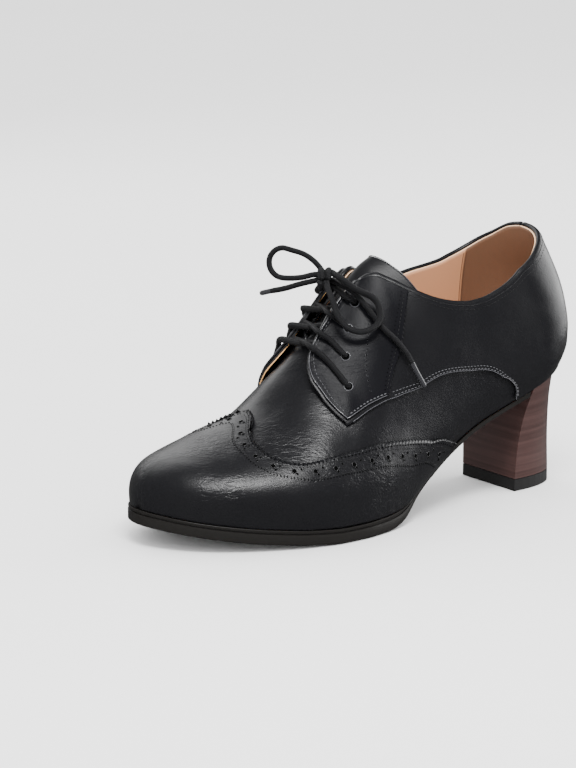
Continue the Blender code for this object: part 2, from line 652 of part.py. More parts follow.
def make_lacing(look):
    """The crossing strands over the throat, joined where they cross."""
    above = LACE_RADIUS + 0.5
    edge = np.array(FLAP_FRONT[4:])
    whole = None
    for i in range(len(EYELETS) - 1):
        for side in (1, -1):
            start = EYELETS[i]
            finish = EYELETS[i + 1]
            first = start[0] * 0.62 + finish[0] * 0.38 - 4.5
            second = start[0] * 0.38 + finish[0] * 0.62 - 4.5
            near = np.interp(first, edge[:, 0], edge[:, 1]) - 0.012
            far = np.interp(second, edge[:, 0], edge[:, 1]) - 0.012
            halfway = above + LACING_RISE * 0.6
            rise_middle = start[1] * 0.45 + near * 0.55
            fall_middle = finish[1] * 0.45 + far * 0.55
            points = [
                flap_point(start[0], start[1], side, above),
                flap_point((start[0] + first) / 2, rise_middle, side, halfway),
                flap_point(first, near, side, above + LACING_RISE),
                flap_point(second, far, -side, above + LACING_RISE),
                flap_point((finish[0] + second) / 2, fall_middle, -side, halfway),
                flap_point(finish[0], finish[1], -side, above),
            ]
            strand = as_mesh(cord("strand", points, LACE_RADIUS, look, 4.5, 1))
            if whole is None:
                whole = strand
                continue
            union = whole.modifiers.new("union", "BOOLEAN")
            union.operation = "UNION"
            union.solver = "EXACT"
            union.object = strand
            bpy.context.view_layer.update()
            graph = bpy.context.evaluated_depsgraph_get()
            joined = bpy.data.meshes.new_from_object(whole.evaluated_get(graph))
            whole.modifiers.clear()
            whole.data = joined
            bpy.data.objects.remove(strand)
    whole.name = "lacing"
    return whole


def make_bow(look):
    knot = np.array(KNOT)
    ring = []
    for angle in np.linspace(math.radians(245), math.radians(555), 12):
        turn = np.array([math.cos(angle), -math.sin(angle) * 0.7, math.sin(angle) * 0.7])
        ring.append(knot + 2.3 * turn)
    cord("lace_knot", ring, 2.0, look, 1.6)
    cord("lace_loop_outer", LOOP_OUTER, LACE_RADIUS, look)
    cord("lace_loop_inner", LOOP_INNER, LACE_RADIUS, look)
    cord("lace_end_outer", END_OUTER, LACE_RADIUS, look)
    cord("lace_end_inner", END_INNER, LACE_RADIUS, look)


for old in list(bpy.data.objects):
    bpy.data.objects.remove(old)
PARTS = bpy.data.collections.new("shoe")
bpy.context.scene.collection.children.link(PARTS)

BLACK = (0.022, 0.022, 0.025)
make_upper(material("upper_leather", BLACK, 0.42))
make_wing(material("wing_leather", (0.028, 0.028, 0.031), 0.40))
make_quarter("quarter_outer", 1, material("quarter_outer_leather", (0.030, 0.030, 0.033), 0.42))
make_quarter("quarter_inner", -1, material("quarter_inner_leather", (0.030, 0.030, 0.033), 0.42))
make_stay("stay_outer", 1, material("stay_outer_leather", (0.038, 0.038, 0.041), 0.42))
make_stay("stay_inner", -1, material("stay_inner_leather", (0.038, 0.038, 0.041), 0.42))
make_tongue(material("tongue_leather", (0.025, 0.025, 0.028), 0.45))
make_outsole(material("sole_rubber", (0.018, 0.018, 0.019), 0.60))
make_insole(material("insole_leather", (0.62, 0.40, 0.27), 0.60))
make_heel(material("heel_stack", (0.090, 0.040, 0.034), 0.45))
make_lift(material("top_piece_rubber", (0.016, 0.016, 0.017), 0.65))
LACE = material("lace_cord", (0.020, 0.020, 0.022), 0.75)
make_lacing(LACE)
make_bow(LACE)
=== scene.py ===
"""Looks of the heeled derby shoe: leather, lining, seams, perforations, laces, sole and light."""

import math

import bmesh
import bpy
import numpy as np
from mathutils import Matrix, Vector


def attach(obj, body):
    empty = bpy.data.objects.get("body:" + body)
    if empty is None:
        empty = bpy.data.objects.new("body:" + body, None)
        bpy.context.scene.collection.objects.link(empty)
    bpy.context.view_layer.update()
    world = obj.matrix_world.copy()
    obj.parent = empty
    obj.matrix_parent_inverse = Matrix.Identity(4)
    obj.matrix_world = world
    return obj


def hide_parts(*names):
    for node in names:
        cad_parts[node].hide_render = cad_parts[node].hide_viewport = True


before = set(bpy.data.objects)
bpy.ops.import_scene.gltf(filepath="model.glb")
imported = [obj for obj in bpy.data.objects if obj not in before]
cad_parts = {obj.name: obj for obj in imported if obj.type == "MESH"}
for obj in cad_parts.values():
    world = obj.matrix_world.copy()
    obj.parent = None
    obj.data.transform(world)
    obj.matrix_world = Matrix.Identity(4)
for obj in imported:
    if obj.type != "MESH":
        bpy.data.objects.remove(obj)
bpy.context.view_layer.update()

MM = 0.001
TIP_Y = -110.6
LINE_X = -3.2
REAR_STATION = 193.0
BACK_STATION = 231.0
BACK_DISTANCE = 218.5
LEAN_START = 138.0
GAP = 0.3
# station, centre line, outer and inner half width at the feather line, the same where widest,
# height of the widest place and of the ridge above the feather line, ridge x, shoulder, crown
SECTIONS = (
    (0.0, -3.0, 0.0, 0.0, 0.0, 0.0, 0.0, 0.0, -3.0, 0.60, 0.62),
    (4.0, -2.9, 12.5, 12.5, 13.0, 13.0, 4.6, 13.0, -3.0, 0.60, 0.62),
    (12.0, -2.6, 23.0, 22.0, 23.8, 22.8, 6.8, 20.8, -3.0, 0.58, 0.62),
    (24.0, -2.0, 31.5, 30.0, 32.6, 31.0, 8.8, 26.0, -3.2, 0.56, 0.60),
    (42.0, -1.0, 39.0, 35.5, 40.6, 37.0, 10.8, 34.0, -3.6, 0.52, 0.54),
    (58.0, 0.0, 43.0, 38.0, 45.0, 39.6, 13.0, 42.8, -4.0, 0.46, 0.46),
    (72.0, 0.0, 45.0, 38.0, 46.5, 40.0, 15.0, 56.5, -4.0, 0.40, 0.38),
    (84.0, 0.0, 44.5, 37.0, 46.0, 39.0, 16.0, 68.5, -3.5, 0.36, 0.34),
    (96.0, 0.0, 42.0, 34.5, 44.2, 37.5, 17.0, 83.0, -3.0, 0.36, 0.33),
    (108.0, 0.0, 38.5, 31.5, 41.0, 34.5, 17.5, 96.0, -3.0, 0.38, 0.34),
    (118.0, 0.0, 35.0, 28.5, 38.0, 32.0, 18.0, 101.5, -2.0, 0.40, 0.38),
    (130.0, 0.0, 31.0, 26.0, 35.0, 30.0, 18.0, 101.0, -1.0, 0.46, 0.48),
    (145.0, 0.0, 28.0, 25.0, 32.5, 28.5, 18.0, 98.0, 0.0, 0.52, 0.62),
    (162.0, 0.0, 26.5, 25.0, 31.0, 28.5, 18.0, 93.0, 0.0, 0.56, 0.70),
    (178.0, 0.0, 27.3, 26.3, 31.0, 29.3, 18.0, 88.0, 0.0, 0.58, 0.72),
    (193.0, 0.0, 27.5, 26.5, 30.6, 29.4, 18.0, 83.0, 0.0, 0.58, 0.72),
)
# station, height of the feather line, where upper and sole meet
FEATHER = (
    (0.0, 16.4), (10.0, 14.2), (20.0, 12.4), (40.0, 9.6), (60.0, 7.7), (76.0, 7.0), (96.0, 7.2),
    (106.0, 8.0), (114.0, 10.2), (122.0, 14.2), (134.0, 21.4), (149.0, 30.2), (163.0, 37.2),
    (178.0, 43.2), (193.0, 48.8), (203.0, 53.0), (213.0, 57.0), (224.0, 60.6),
)
# height fraction, how far back the rear of the upper leans
LEAN = (
    (0.0, 0.0), (0.05, 0.6), (0.10, 2.0), (0.17, 3.5), (0.25, 3.6), (0.32, 2.0), (0.39, -0.8),
    (0.47, -5.2), (0.53, -8.4), (0.58, -10.8), (0.70, -17.0), (1.0, -26.0),
)
# station, how much lower the top line is on the inner side
INNER_DROP = (
    (118.0, 0.0), (135.0, -2.0), (150.0, -4.6), (164.0, -5.0), (176.0, -3.0), (188.0, 0.0),
    (198.0, 2.4), (206.0, 3.2), (213.0, 2.9), (224.0, 0.6), (231.0, 0.0),
)
# station, height of the top line
TOP_LINE = (
    (109.5, 103.0), (112.0, 105.0), (114.5, 106.5), (117.0, 107.0), (120.0, 105.6), (130.0, 99.6),
    (140.0, 95.4), (150.0, 93.5), (157.0, 93.0), (164.0, 93.6), (176.0, 96.6), (188.0, 101.3),
    (198.0, 107.4), (208.0, 113.4), (218.0, 117.2), (224.0, 118.5), (231.0, 119.2),
)
# station, half width of the throat opening of the base under the flaps
THROAT = ((74.0, 0.0), (75.0, 5.0), (78.0, 8.5), (84.0, 10.0), (96.0, 9.5), (112.0, 9.0))
# station, height fraction
FLAP_FRONT = (
    (82.7, 0.540), (79.6, 0.615), (78.1, 0.690), (78.0, 0.760), (80.0, 0.820), (84.0, 0.862),
    (90.0, 0.880), (97.0, 0.890), (103.5, 0.897), (109.5, 0.902),
)
FLAP_SEAM = (
    (82.7, 0.540), (96.2, 0.520), (110.7, 0.475), (122.0, 0.437), (134.4, 0.402), (151.4, 0.335),
    (163.0, 0.290), (171.0, 0.235), (177.0, 0.140), (181.0, 0.030),
)
WING_EDGE = (
    (58.0, 1.0), (56.6, 0.955), (52.3, 0.900), (48.2, 0.830), (45.9, 0.750), (46.0, 0.675),
    (49.1, 0.588), (55.0, 0.525), (66.2, 0.475), (80.4, 0.438), (94.5, 0.400), (113.0, 0.331),
    (133.1, 0.206), (145.5, 0.050),
)
# share of the wing's edge, station where the feather line lies under it
WING_FOOT = ((0.0, 8.4), (0.14, 14.0), (0.29, 30.0), (0.38, 42.0), (0.52, 55.0), (1.0, 145.5))
STAY_REAR = (
    (103.5, 0.480), (104.5, 0.512), (108.5, 0.542), (116.0, 0.577), (121.5, 0.637), (126.5, 0.700),
    (128.0, 0.740),
)
# station, height of the sole's underside
GROUND = (
    (-3.0, 9.8), (10.0, 7.4), (20.0, 5.6), (40.0, 2.7), (60.0, 0.8), (74.0, 0.0), (98.0, 0.0),
    (104.0, 0.5), (110.0, 2.6), (116.0, 6.9), (122.0, 11.6), (134.0, 19.0), (149.0, 27.8),
    (163.0, 34.8), (178.0, 41.0), (193.0, 46.1),
)
# station, how far the sole's edge stands out past the feather line
LEDGE = ((0.0, 2.2), (60.0, 1.9), (96.0, 1.9), (112.0, 1.6), (122.0, 0.8), (193.0, 0.4))

EYELETS = ((88.8, 0.656), (93.1, 0.738), (98.8, 0.798), (105.0, 0.838))
WALL = 1.8
QUARTER_THICKNESS = 1.2
STAY_THICKNESS = 0.9
WING_THICKNESS = 1.1
TONGUE_THICKNESS = 2.2
WIDEST_AT = 0.25
FLAP_LIFT = 4.2
LIFT_FADE = 26.0
INNER_LIFT = 0.45
HEEL_ROUNDNESS = 2.2
FLAP_TOP_STATION = 109.5
SEAM_END_STATION = 230.92
THROAT_END = 116.0
COLLAR_START = 110.0
COLLAR_END = 230.9
HEEL_BREAST_STATION = 193.6
FOOT_FRACTION = 0.03
LIFT_HEIGHT = 5.4
LEATHER_CRINKLE = 0.00028
TOOTH_PITCH = 2.1
LINING_SEAM_Y = 83.0
SIDES = {1: "outer", -1: "inner"}
# share of height, half width against the seat, station of the breast, station of the back
HEEL_FORM = (
    (0.00, 0.700, 188.6, 219.6), (0.35, 0.735, 189.6, 218.8), (0.70, 0.830, 191.2, 218.4),
    (0.90, 0.930, 192.6, 218.3), (1.00, 0.985, 193.6, 218.2),
)


def run_along(points):
    """Length along a line of points, at each of them."""
    return np.concatenate([[0.0], np.cumsum(np.linalg.norm(np.diff(points, axis=0), axis=1))])


def unit(vectors):
    return vectors / np.maximum(np.linalg.norm(vectors, axis=-1, keepdims=True), 1e-9)


def smooth(table, at):
    """Value of a two-column table, along a smooth line that never overshoots its rows."""
    rows = np.array(table, float)
    x, y = rows[:, 0], rows[:, 1]
    at = np.clip(np.asarray(at, float), x[0], x[-1])
    step = np.diff(x)
    slope = np.diff(y) / step
    tangent = np.zeros(len(x))
    if len(x) > 2:
        same = slope[:-1] * slope[1:] > 0
        first = 2 * step[1:] + step[:-1]
        second = step[1:] + 2 * step[:-1]
        low = np.where(same, slope[:-1], 1.0)
        high = np.where(same, slope[1:], 1.0)
        tangent[1:-1] = np.where(same, (first + second) / (first / low + second / high), 0.0)
    tangent[0] = slope[0]
    tangent[-1] = slope[-1]
    i = np.clip(np.searchsorted(x, at, side="right") - 1, 0, len(x) - 2)
    t = (at - x[i]) / step[i]
    return (
        (1 + 2 * t) * (1 - t) ** 2 * y[i]
        + t * (1 - t) ** 2 * step[i] * tangent[i]
        + t * t * (3 - 2 * t) * y[i + 1]
        + t * t * (t - 1) * step[i] * tangent[i + 1]
    )


def ease(t):
    return t * t * (3 - 2 * t)


def bezier(a, b, c, d, t):
    return a * (1 - t) ** 3 + 3 * b * t * (1 - t) ** 2 + 3 * c * t * t * (1 - t) + d * t**3


def section_values(station):
    rows = np.array(SECTIONS)
    root = np.sqrt(rows[:, 0])
    at = np.sqrt(np.clip(station, 0.0, None))
    return [smooth(np.stack([root, rows[:, k]], 1), at) for k in range(1, rows.shape[1])]


def shoe_surface(station, height, side):
    """Point of the base surface. Side is 1 for the outer half and -1 for the inner half."""
    station, height = np.broadcast_arrays(np.asarray(station, float), np.asarray(height, float))
    front = np.clip(station, 0.0, REAR_STATION)
    centre, outer_f, inner_f, outer_w, inner_w, *rest = section_values(front)
    widest, ridge, ridge_x, shoulder, crown = rest
    feather_x = centre + (outer_f if side > 0 else -inner_f)
    widest_x = centre + (outer_w if side > 0 else -inner_w)
    base = smooth(FEATHER, front)
    low = np.clip(height / WIDEST_AT, 0, 1)
    high = np.clip((height - WIDEST_AT) / (1 - WIDEST_AT), 0, 1)
    low_x = bezier(feather_x, feather_x + (widest_x - feather_x) * 0.6, widest_x, widest_x, low)
    low_z = bezier(0.0, widest * 0.25, widest * 0.62, widest, low)
    high_x = bezier(widest_x, widest_x, ridge_x + (widest_x - ridge_x) * crown, ridge_x, high)
    high_z = bezier(widest, widest + (ridge - widest) * shoulder, ridge, ridge, high)
    x = np.where(height < WIDEST_AT, low_x, high_x)
    z = base + np.where(height < WIDEST_AT, low_z, high_z)
    turn = np.clip((station - REAR_STATION) / (BACK_STATION - REAR_STATION), 0, 1) * math.pi / 2
    along = np.sin(turn) ** (2 / HEEL_ROUNDNESS)
    across = np.where(turn >= math.pi / 2 - 1e-9, 0.0, np.abs(np.cos(turn)) ** (2 / HEEL_ROUNDNESS))
    behind = station > REAR_STATION
    y = front + (BACK_DISTANCE - REAR_STATION) * np.where(behind, along, 0.0)
    z = np.where(behind, z + smooth(FEATHER, y) - smooth(FEATHER, REAR_STATION), z)
    ramp = np.clip((station - LEAN_START) / (REAR_STATION - LEAN_START), 0, 1)
    y = y + smooth(LEAN, height) * ease(ramp)
    x = np.where(behind, x * across, x)
    return np.stack([x + LINE_X, y + TIP_Y, z], -1)


def outward(station, height, side):
    """Unit normal of the base surface, away from the foot."""
    station = np.asarray(station, float)
    height = np.asarray(height, float)
    station_step, height_step = 0.3, 0.004
    back = np.minimum(station + station_step, BACK_STATION)
    fore = np.maximum(station - station_step, 0.05)
    above = np.minimum(height + height_step, 1.0)
    below = np.maximum(height - height_step, 0.0)
    along = shoe_surface(back, height, side) - shoe_surface(fore, height, side)
    up = shoe_surface(station, above, side) - shoe_surface(station, below, side)
    return unit(np.cross(along, up) * side)


def raised(station, height, side, by):
    """Points that stand off the base surface; by is one distance or one for each point."""
    by = np.asarray(by, float)[..., None]
    return shoe_surface(station, height, side) + outward(station, height, side) * by


def laid(grid, side, by):
    """The same for a grid of station and height fraction."""
    return raised(grid[..., 0], grid[..., 1], side, by)


def height_where(station, side, axis, target):
    """Lowest height fraction, one for each station, where a coordinate passes the target."""
    trial = np.linspace(0, 1, 301)
    found = []
    for s, want in zip(np.atleast_1d(station), np.atleast_1d(target)):
        points = shoe_surface(np.full(301, s), trial, side)
        value = points[:, 2] if axis == "z" else -abs(points[:, 0] - points[-1, 0])
        value = np.maximum.accumulate(value) + trial * 1e-6
        found.append(np.interp(want, value, trial))
    return np.array(found)


def stations(first, last, count):
    """Stations that crowd towards the toe, where the outline turns most."""
    return np.linspace(math.sqrt(first), math.sqrt(last), count) ** 2


def top_height(station, side):
    drop = smooth(INNER_DROP, station) if side < 0 else 0.0
    return smooth(TOP_LINE, station) - drop


def upper_top(station, side):
    """Height fraction where the base of the upper ends."""
    low = np.ones(len(station))
    open_part = (station >= THROAT[0][0]) & (station <= THROAT_END)
    width = smooth(THROAT, station[open_part])
    low[open_part] = height_where(station[open_part], side, "x", -width)
    collar = station >= COLLAR_START
    edge = height_where(station[collar], side, "z", top_height(station[collar], side))
    low[collar] = np.minimum(low[collar], edge)
    return low


def along_table(table, count):
    """Points spread evenly along a table of station and height fraction."""
    rows = np.array(table, float)
    scaled = rows * (1.0, 100.0)
    run = run_along(scaled)
    at = np.linspace(0, run[-1], count)
    return np.stack([smooth(np.stack([run, rows[:, k]], 1), at) for k in (0, 1)], 1)


def patch(bottom, top, front, rear):
    """Grid of station and height fraction between four border lines."""
    t = np.linspace(0, 1, len(bottom))[:, None, None]
    s = np.linspace(0, 1, len(front))[None, :, None]
    straight = (1 - s) * bottom[:, None] + s * top[:, None]
    start = (1 - s[0]) * bottom[0] + s[0] * top[0]
    finish = (1 - s[0]) * bottom[-1] + s[0] * top[-1]
    return straight + (1 - t) ** 2 * (front - start)[None] + t**2 * (rear - finish)[None]


def top_edge(first, last, count, side):
    at = np.linspace(first, last, count)
    high = height_where(at, side, "z", top_height(at, side))
    return np.stack([at, high], 1)


def flap_lift(grid):
    """How far the front of a flap stands off the instep."""
    edge = np.array(FLAP_FRONT[:8])
    front = np.interp(grid[..., 1], edge[:, 1], edge[:, 0])
    back = np.clip((grid[..., 0] - front) / LIFT_FADE, 0, 1)
    tall = np.clip((grid[..., 1] - 0.58) / 0.26, 0, 1)
    return FLAP_LIFT * (1 - back) ** 2 * ease(tall)


def quarter_grid(side, count, rows, seam_points):
    """Station and height fraction over a quarter, from the flap's front to the back seam."""
    seam = along_table(FLAP_SEAM, seam_points)
    foot_station = np.linspace(seam[-1, 0], SEAM_END_STATION, count - seam_points + 1)[1:]
    foot = np.stack([foot_station, np.full(len(foot_station), FOOT_FRACTION)], 1)
    bottom = np.concatenate([seam, foot])
    top = top_edge(FLAP_TOP_STATION, SEAM_END_STATION, count, side)
    front = along_table(FLAP_FRONT, rows)
    top[0] = front[-1]
    rear = np.stack([np.full(rows, SEAM_END_STATION), np.linspace(FOOT_FRACTION, top[-1, 1], rows)], 1)
    return patch(bottom, top, front, rear)


def side_point(station, side, out):
    """Plan point that stands out from the feather line by a distance along its plan normal."""
    station = np.asarray(station, float)
    here = shoe_surface(station, 0.0, side)[..., :2]
    after = shoe_surface(np.minimum(station + 0.4, BACK_STATION), 0.0, side)[..., :2]
    before = shoe_surface(np.maximum(station - 0.4, 0.0), 0.0, side)[..., :2]
    run = after - before
    normal = np.stack([run[..., 1], -run[..., 0]], -1) * side
    tip = (station <= 0.0)[..., None]
    normal = np.where(tip, np.array([0.0, -1.0]), normal)
    back = (station >= BACK_STATION - 1e-6)[..., None]
    normal = np.where(back, np.array([0.0, 1.0]), normal)
    return here + unit(normal) * np.asarray(out, float)[..., None]


def heel_ring(share, z_low):
    """Outline of the heel at a share of its height, from the breast round the back."""
    form = np.array(HEEL_FORM)
    width, breast, back = [smooth(form[:, (0, k)], share) for k in (1, 2, 3)]
    at = np.concatenate([[HEEL_BREAST_STATION], np.linspace(197.0, BACK_STATION, 11)])
    points = []
    for side in SIDES:
        seat = shoe_surface(at, 0.0, side)
        x = LINE_X + 1.2 * (1 - share) + (seat[:, 0] - LINE_X) * width
        station = seat[:, 1] - TIP_Y
        run = (station - station[0]) / (station[-1] - station[0])
        y = TIP_Y + breast + run * (back - breast)
        seat_z = smooth(FEATHER, y - TIP_Y) - GAP - 0.1
        z = z_low + (seat_z - z_low) * share
        points.append(np.stack([x, y, z], 1))
    return points


def smooth_route(points, step):
    """Evenly spaced points on a smooth curve through the given ones."""
    route = np.array(points, float)
    run = run_along(route)
    before = 2 * route[0] - route[1]
    after = 2 * route[-1] - route[-2]
    wide = np.concatenate([[before], route, [after]])
    at = np.linspace(0, run[-1], max(int(run[-1] / step), 4))
    made = []
    for value in at:
        i = min(int(np.searchsorted(run, value, side="right")) - 1, len(route) - 2)
        t = (value - run[i]) / (run[i + 1] - run[i])
        a, b, c, d = wide[i : i + 4]
        square = (2 * a - 5 * b + 4 * c - d) * t**2
        cube = (3 * b - a - 3 * c + d) * t**3
        made.append(0.5 * (2 * b + (c - a) * t + square + cube))
    return np.array(made)


# ---------------------------------------------------------------- materials


def nodes_of(name):
    made = bpy.data.materials.new(name)
    made.use_nodes = True
    tree = made.node_tree
    return made, tree, tree.nodes["Principled BSDF"]


def put(made, **values):
    """Sets a node's inputs; _ stands for a space in their names."""
    for key, value in values.items():
        made.inputs[key.replace("_", " ")].default_value = value


def add_node(tree, kind, **values):
    made = tree.nodes.new("ShaderNode" + kind)
    put(made, **values)
    return made


def texture(tree, kind, scale, detail=2.0, **more):
    """Texture on the piece's own coordinates."""
    made = add_node(tree, "Tex" + kind, Scale=scale, **more)
    if "Detail" in made.inputs:
        put(made, Detail=detail)
    tree.links.new(add_node(tree, "TexCoord").outputs["Object"], made.inputs["Vector"])
    return made


def ramp(tree, source, low, high, from_low=0.3, from_high=0.7):
    made = add_node(tree, "MapRange", From_Min=from_low, From_Max=from_high, To_Min=low, To_Max=high)
    tree.links.new(source, made.inputs["Value"])
    return made.outputs["Result"]


def mix_colour(tree, source, low, high):
    made = add_node(tree, "Mix")
    made.data_type = "RGBA"
    put(made, A=(*low, 1), B=(*high, 1))
    tree.links.new(source, made.inputs["Factor"])
    return made.outputs["Result"]


def reckon(tree, operation, *values):
    """Math node; each value is a number or another node's output."""
    made = add_node(tree, "Math")
    made.operation = operation
    for socket, value in zip(made.inputs, values):
        if isinstance(value, float):
            socket.default_value = value
        else:
            tree.links.new(value, socket)
    return made.outputs[0]


def bump(tree, shader, source, distance, strength=1.0, before=None):
    made = add_node(tree, "Bump", Distance=distance, Strength=strength)
    tree.links.new(source, made.inputs["Height"])
    if before is not None:
        tree.links.new(before, made.inputs["Normal"])
    tree.links.new(made.outputs["Normal"], shader.inputs["Normal"])
    return made.outputs["Normal"]


def leather(name, colour=(0.0042, 0.0042, 0.0052), rough=0.33, crinkle=1.0, coat=0.22):
    """Black finished leather: fine pores, a soft crinkle that shows in the highlights, uneven gloss."""
    made, tree, shader = nodes_of(name)
    cloud = texture(tree, "Noise", 38.0, 3.0).outputs["Fac"]
    lighter = tuple(c * 1.35 for c in colour)
    tree.links.new(mix_colour(tree, cloud, colour, lighter), shader.inputs["Base Color"])
    tree.links.new(ramp(tree, cloud, rough - 0.05, rough + 0.07), shader.inputs["Roughness"])
    put(shader, Specular_IOR_Level=0.24, Coat_Weight=coat * 0.35, Coat_Roughness=0.28)
    wave = texture(tree, "Noise", 600.0, 2.5, Distortion=1.2)
    place = add_node(tree, "Mapping")
    place.vector_type = "TEXTURE"
    put(place, Rotation=(0.0, 0.0, 0.93), Scale=(2.6, 1.0, 1.0))
    tree.links.new(add_node(tree, "TexCoord").outputs["Object"], place.inputs["Vector"])
    tree.links.new(place.outputs["Vector"], wave.inputs["Vector"])
    patchy = ramp(tree, texture(tree, "Noise", 42.0, 1.0).outputs["Fac"], 0.25, 1.0, 0.42, 0.62)
    height = reckon(tree, "MULTIPLY", wave.outputs["Fac"], patchy)
    first = bump(tree, shader, height, LEATHER_CRINKLE * crinkle)
    pores = texture(tree, "Voronoi", 1900.0).outputs["Distance"]
    second = bump(tree, shader, pores, 0.00004, 0.7, first)
    slow = texture(tree, "Noise", 70.0, 1.0).outputs["Fac"]
    last = bump(tree, shader, slow, 0.0009, 0.5, second)
    tree.links.new(last, shader.inputs["Coat Normal"])
    return made


def lining_leather(name, pale, dark):
    """Smooth tan lining, darker behind the side seam: partly the darker counter lining there, partly painted
    shade inside the heel.
    """
    made, tree, shader = nodes_of(name)
    split = add_node(tree, "SeparateXYZ")
    tree.links.new(add_node(tree, "TexCoord").outputs["Object"], split.inputs["Vector"])
    edge = LINING_SEAM_Y * MM
    behind = ramp(tree, split.outputs["Y"], 0.0, 1.0, edge - 0.0004, edge + 0.0004)
    tree.links.new(mix_colour(tree, behind, pale, dark), shader.inputs["Base Color"])
    put(shader, Roughness=0.55)
    bump(tree, shader, texture(tree, "Noise", 900.0, 3.0).outputs["Fac"], 0.00006, 0.8)
    return made


def plain(name, colour, rough, grain_scale=1200.0, grain=0.00004, vary=0.25, coat=0.0):
    """One colour with a fine grain that varies its tone, roughness and height."""
    made, tree, shader = nodes_of(name)
    noise = texture(tree, "Noise", grain_scale, 3.0).outputs["Fac"]
    lighter = tuple(min(c * (1 + vary), 1.0) for c in colour)
    tree.links.new(mix_colour(tree, noise, colour, lighter), shader.inputs["Base Color"])
    tree.links.new(ramp(tree, noise, rough - 0.05, rough + 0.05), shader.inputs["Roughness"])
    put(shader, Coat_Weight=coat)
    bump(tree, shader, noise, grain, 0.8)
    return made


def heel_material():
    """Stacked layers of a dark reddish brown heel, thin lines on a satin finish."""
    made, tree, shader = nodes_of("heel_stack")
    stretch = add_node(tree, "Mapping", Scale=(6.0, 6.0, 620.0))
    tree.links.new(add_node(tree, "TexCoord").outputs["Object"], stretch.inputs["Vector"])
    lines = add_node(tree, "TexNoise", Scale=1.0, Detail=4.0)
    tree.links.new(stretch.outputs["Vector"], lines.inputs["Vector"])
    fac = ramp(tree, lines.outputs["Fac"], 0.0, 1.0, 0.35, 0.65)
    colour = mix_colour(tree, fac, (0.036, 0.0160, 0.0140), (0.056, 0.027, 0.024))
    tree.links.new(colour, shader.inputs["Base Color"])
    put(shader, Roughness=0.42, Specular_IOR_Level=0.4)
    bump(tree, shader, lines.outputs["Fac"], 0.00008, 0.6)
    return made


def lace_material():
    """Braided black cord: crossing yarns from the tube's own length and angle."""
    made, tree, shader = nodes_of("lace_braid")
    put(shader, Base_Color=(0.0050, 0.0050, 0.0062, 1), Roughness=0.62, Specular_IOR_Level=0.3,
        Sheen_Weight=0.025, Sheen_Roughness=0.4)
    split = add_node(tree, "SeparateXYZ")
    tree.links.new(add_node(tree, "UVMap").outputs["UV"], split.inputs["Vector"])
    along_rate, yarns_round = 7.0, 6
    waves = []
    for turn in (1.0, -1.0):
        along = reckon(tree, "MULTIPLY", split.outputs["X"], along_rate)
        around = reckon(tree, "MULTIPLY_ADD", split.outputs["Y"], turn * 2 * math.pi * yarns_round, along)
        waves.append(reckon(tree, "SINE", around))
    bump(tree, shader, reckon(tree, "MAXIMUM", *waves), 0.00014)
    return made


# ---------------------------------------------------------------- mesh helpers

PIECES = []


def new_piece(name, points, faces, look, slot, uv=None, sharp=None):
    """Piece from millimetre points; look is one material or a list of them."""
    mesh = bpy.data.meshes.new(name)
    mesh.from_pydata((np.asarray(points, float) * MM).tolist(), [], faces)
    if uv is not None:
        layer = mesh.uv_layers.new(name="UVMap")
        index = np.empty(len(mesh.loops), np.int32)
        mesh.loops.foreach_get("vertex_index", index)
        layer.data.foreach_set("uv", np.asarray(uv, np.float32)[index].ravel())
    for one in look if isinstance(look, list) else [look]:
        mesh.materials.append(one)
    mesh.polygons.foreach_set("use_smooth", [True] * len(mesh.polygons))
    if sharp:
        mesh.set_sharp_from_angle(angle=math.radians(sharp))
    made = bpy.data.objects.new(name, mesh)
    bpy.context.scene.collection.objects.link(made)
    PIECES.append(made)
    return made


def weld(made, near=0.02 * MM):
    build = bmesh.new()
    build.from_mesh(made.data)
    bmesh.ops.remove_doubles(build, verts=build.verts, dist=near)
    bmesh.ops.recalc_face_normals(build, faces=build.faces)
    build.to_mesh(made.data)
    build.free()


def face_out(made):
    """Turns the faces away from the foot."""
    mesh = made.data
    count = len(mesh.polygons)
    normal = np.empty(count * 3)
    centre = np.empty(count * 3)
    area = np.empty(count)
    mesh.polygons.foreach_get("normal", normal)
    mesh.polygons.foreach_get("center", centre)
    mesh.polygons.foreach_get("area", area)
    centre = centre.reshape(-1, 3)
    core = np.array([LINE_X * MM, 0.0, 0.045])[None].repeat(count, 0)
    core[:, 1] = np.clip(centre[:, 1], (TIP_Y + 40) * MM, (TIP_Y + 190) * MM)
    if ((normal.reshape(-1, 3) * (centre - core)).sum(1) * area).sum() < 0:
        mesh.flip_normals()


def shell(made, thickness, welded=False, round_edge=0.0):
    """Turns a sheet away from the foot and thickens it inwards. Its materials are outside, inside and rim."""
    if welded:
        weld(made)
    face_out(made)
    solid = made.modifiers.new("thickness", "SOLIDIFY")
    solid.thickness = thickness * MM
    solid.offset = -1.0
    solid.use_rim = True
    solid.material_offset = 1
    solid.material_offset_rim = 2
    if round_edge:
        edge = made.modifiers.new("edge", "BEVEL")
        edge.width = round_edge * MM
        edge.segments = 2
        edge.limit_method = "ANGLE"
        edge.angle_limit = math.radians(50)


def grid_faces(rows, columns, start=0):
    base = start + np.arange(rows - 1)[:, None] * columns + np.arange(columns - 1)[None]
    base = base.ravel()
    return np.stack([base, base + 1, base + columns + 1, base + columns], 1).tolist()


def two_halves(halves):
    """Points and faces of two grids of one size."""
    rows, columns = halves[0].shape[:2]
    points = np.concatenate([half.reshape(-1, 3) for half in halves])
    return points, grid_faces(rows, columns) + grid_faces(rows, columns, rows * columns)


def panel(name, points, looks, slot, thickness, round_edge=0.0):
    """Thick sheet from one grid of points."""
    made = new_piece(name, points.reshape(-1, 3), grid_faces(*points.shape[:2]), looks, slot)
    shell(made, thickness, round_edge=round_edge)
    return made


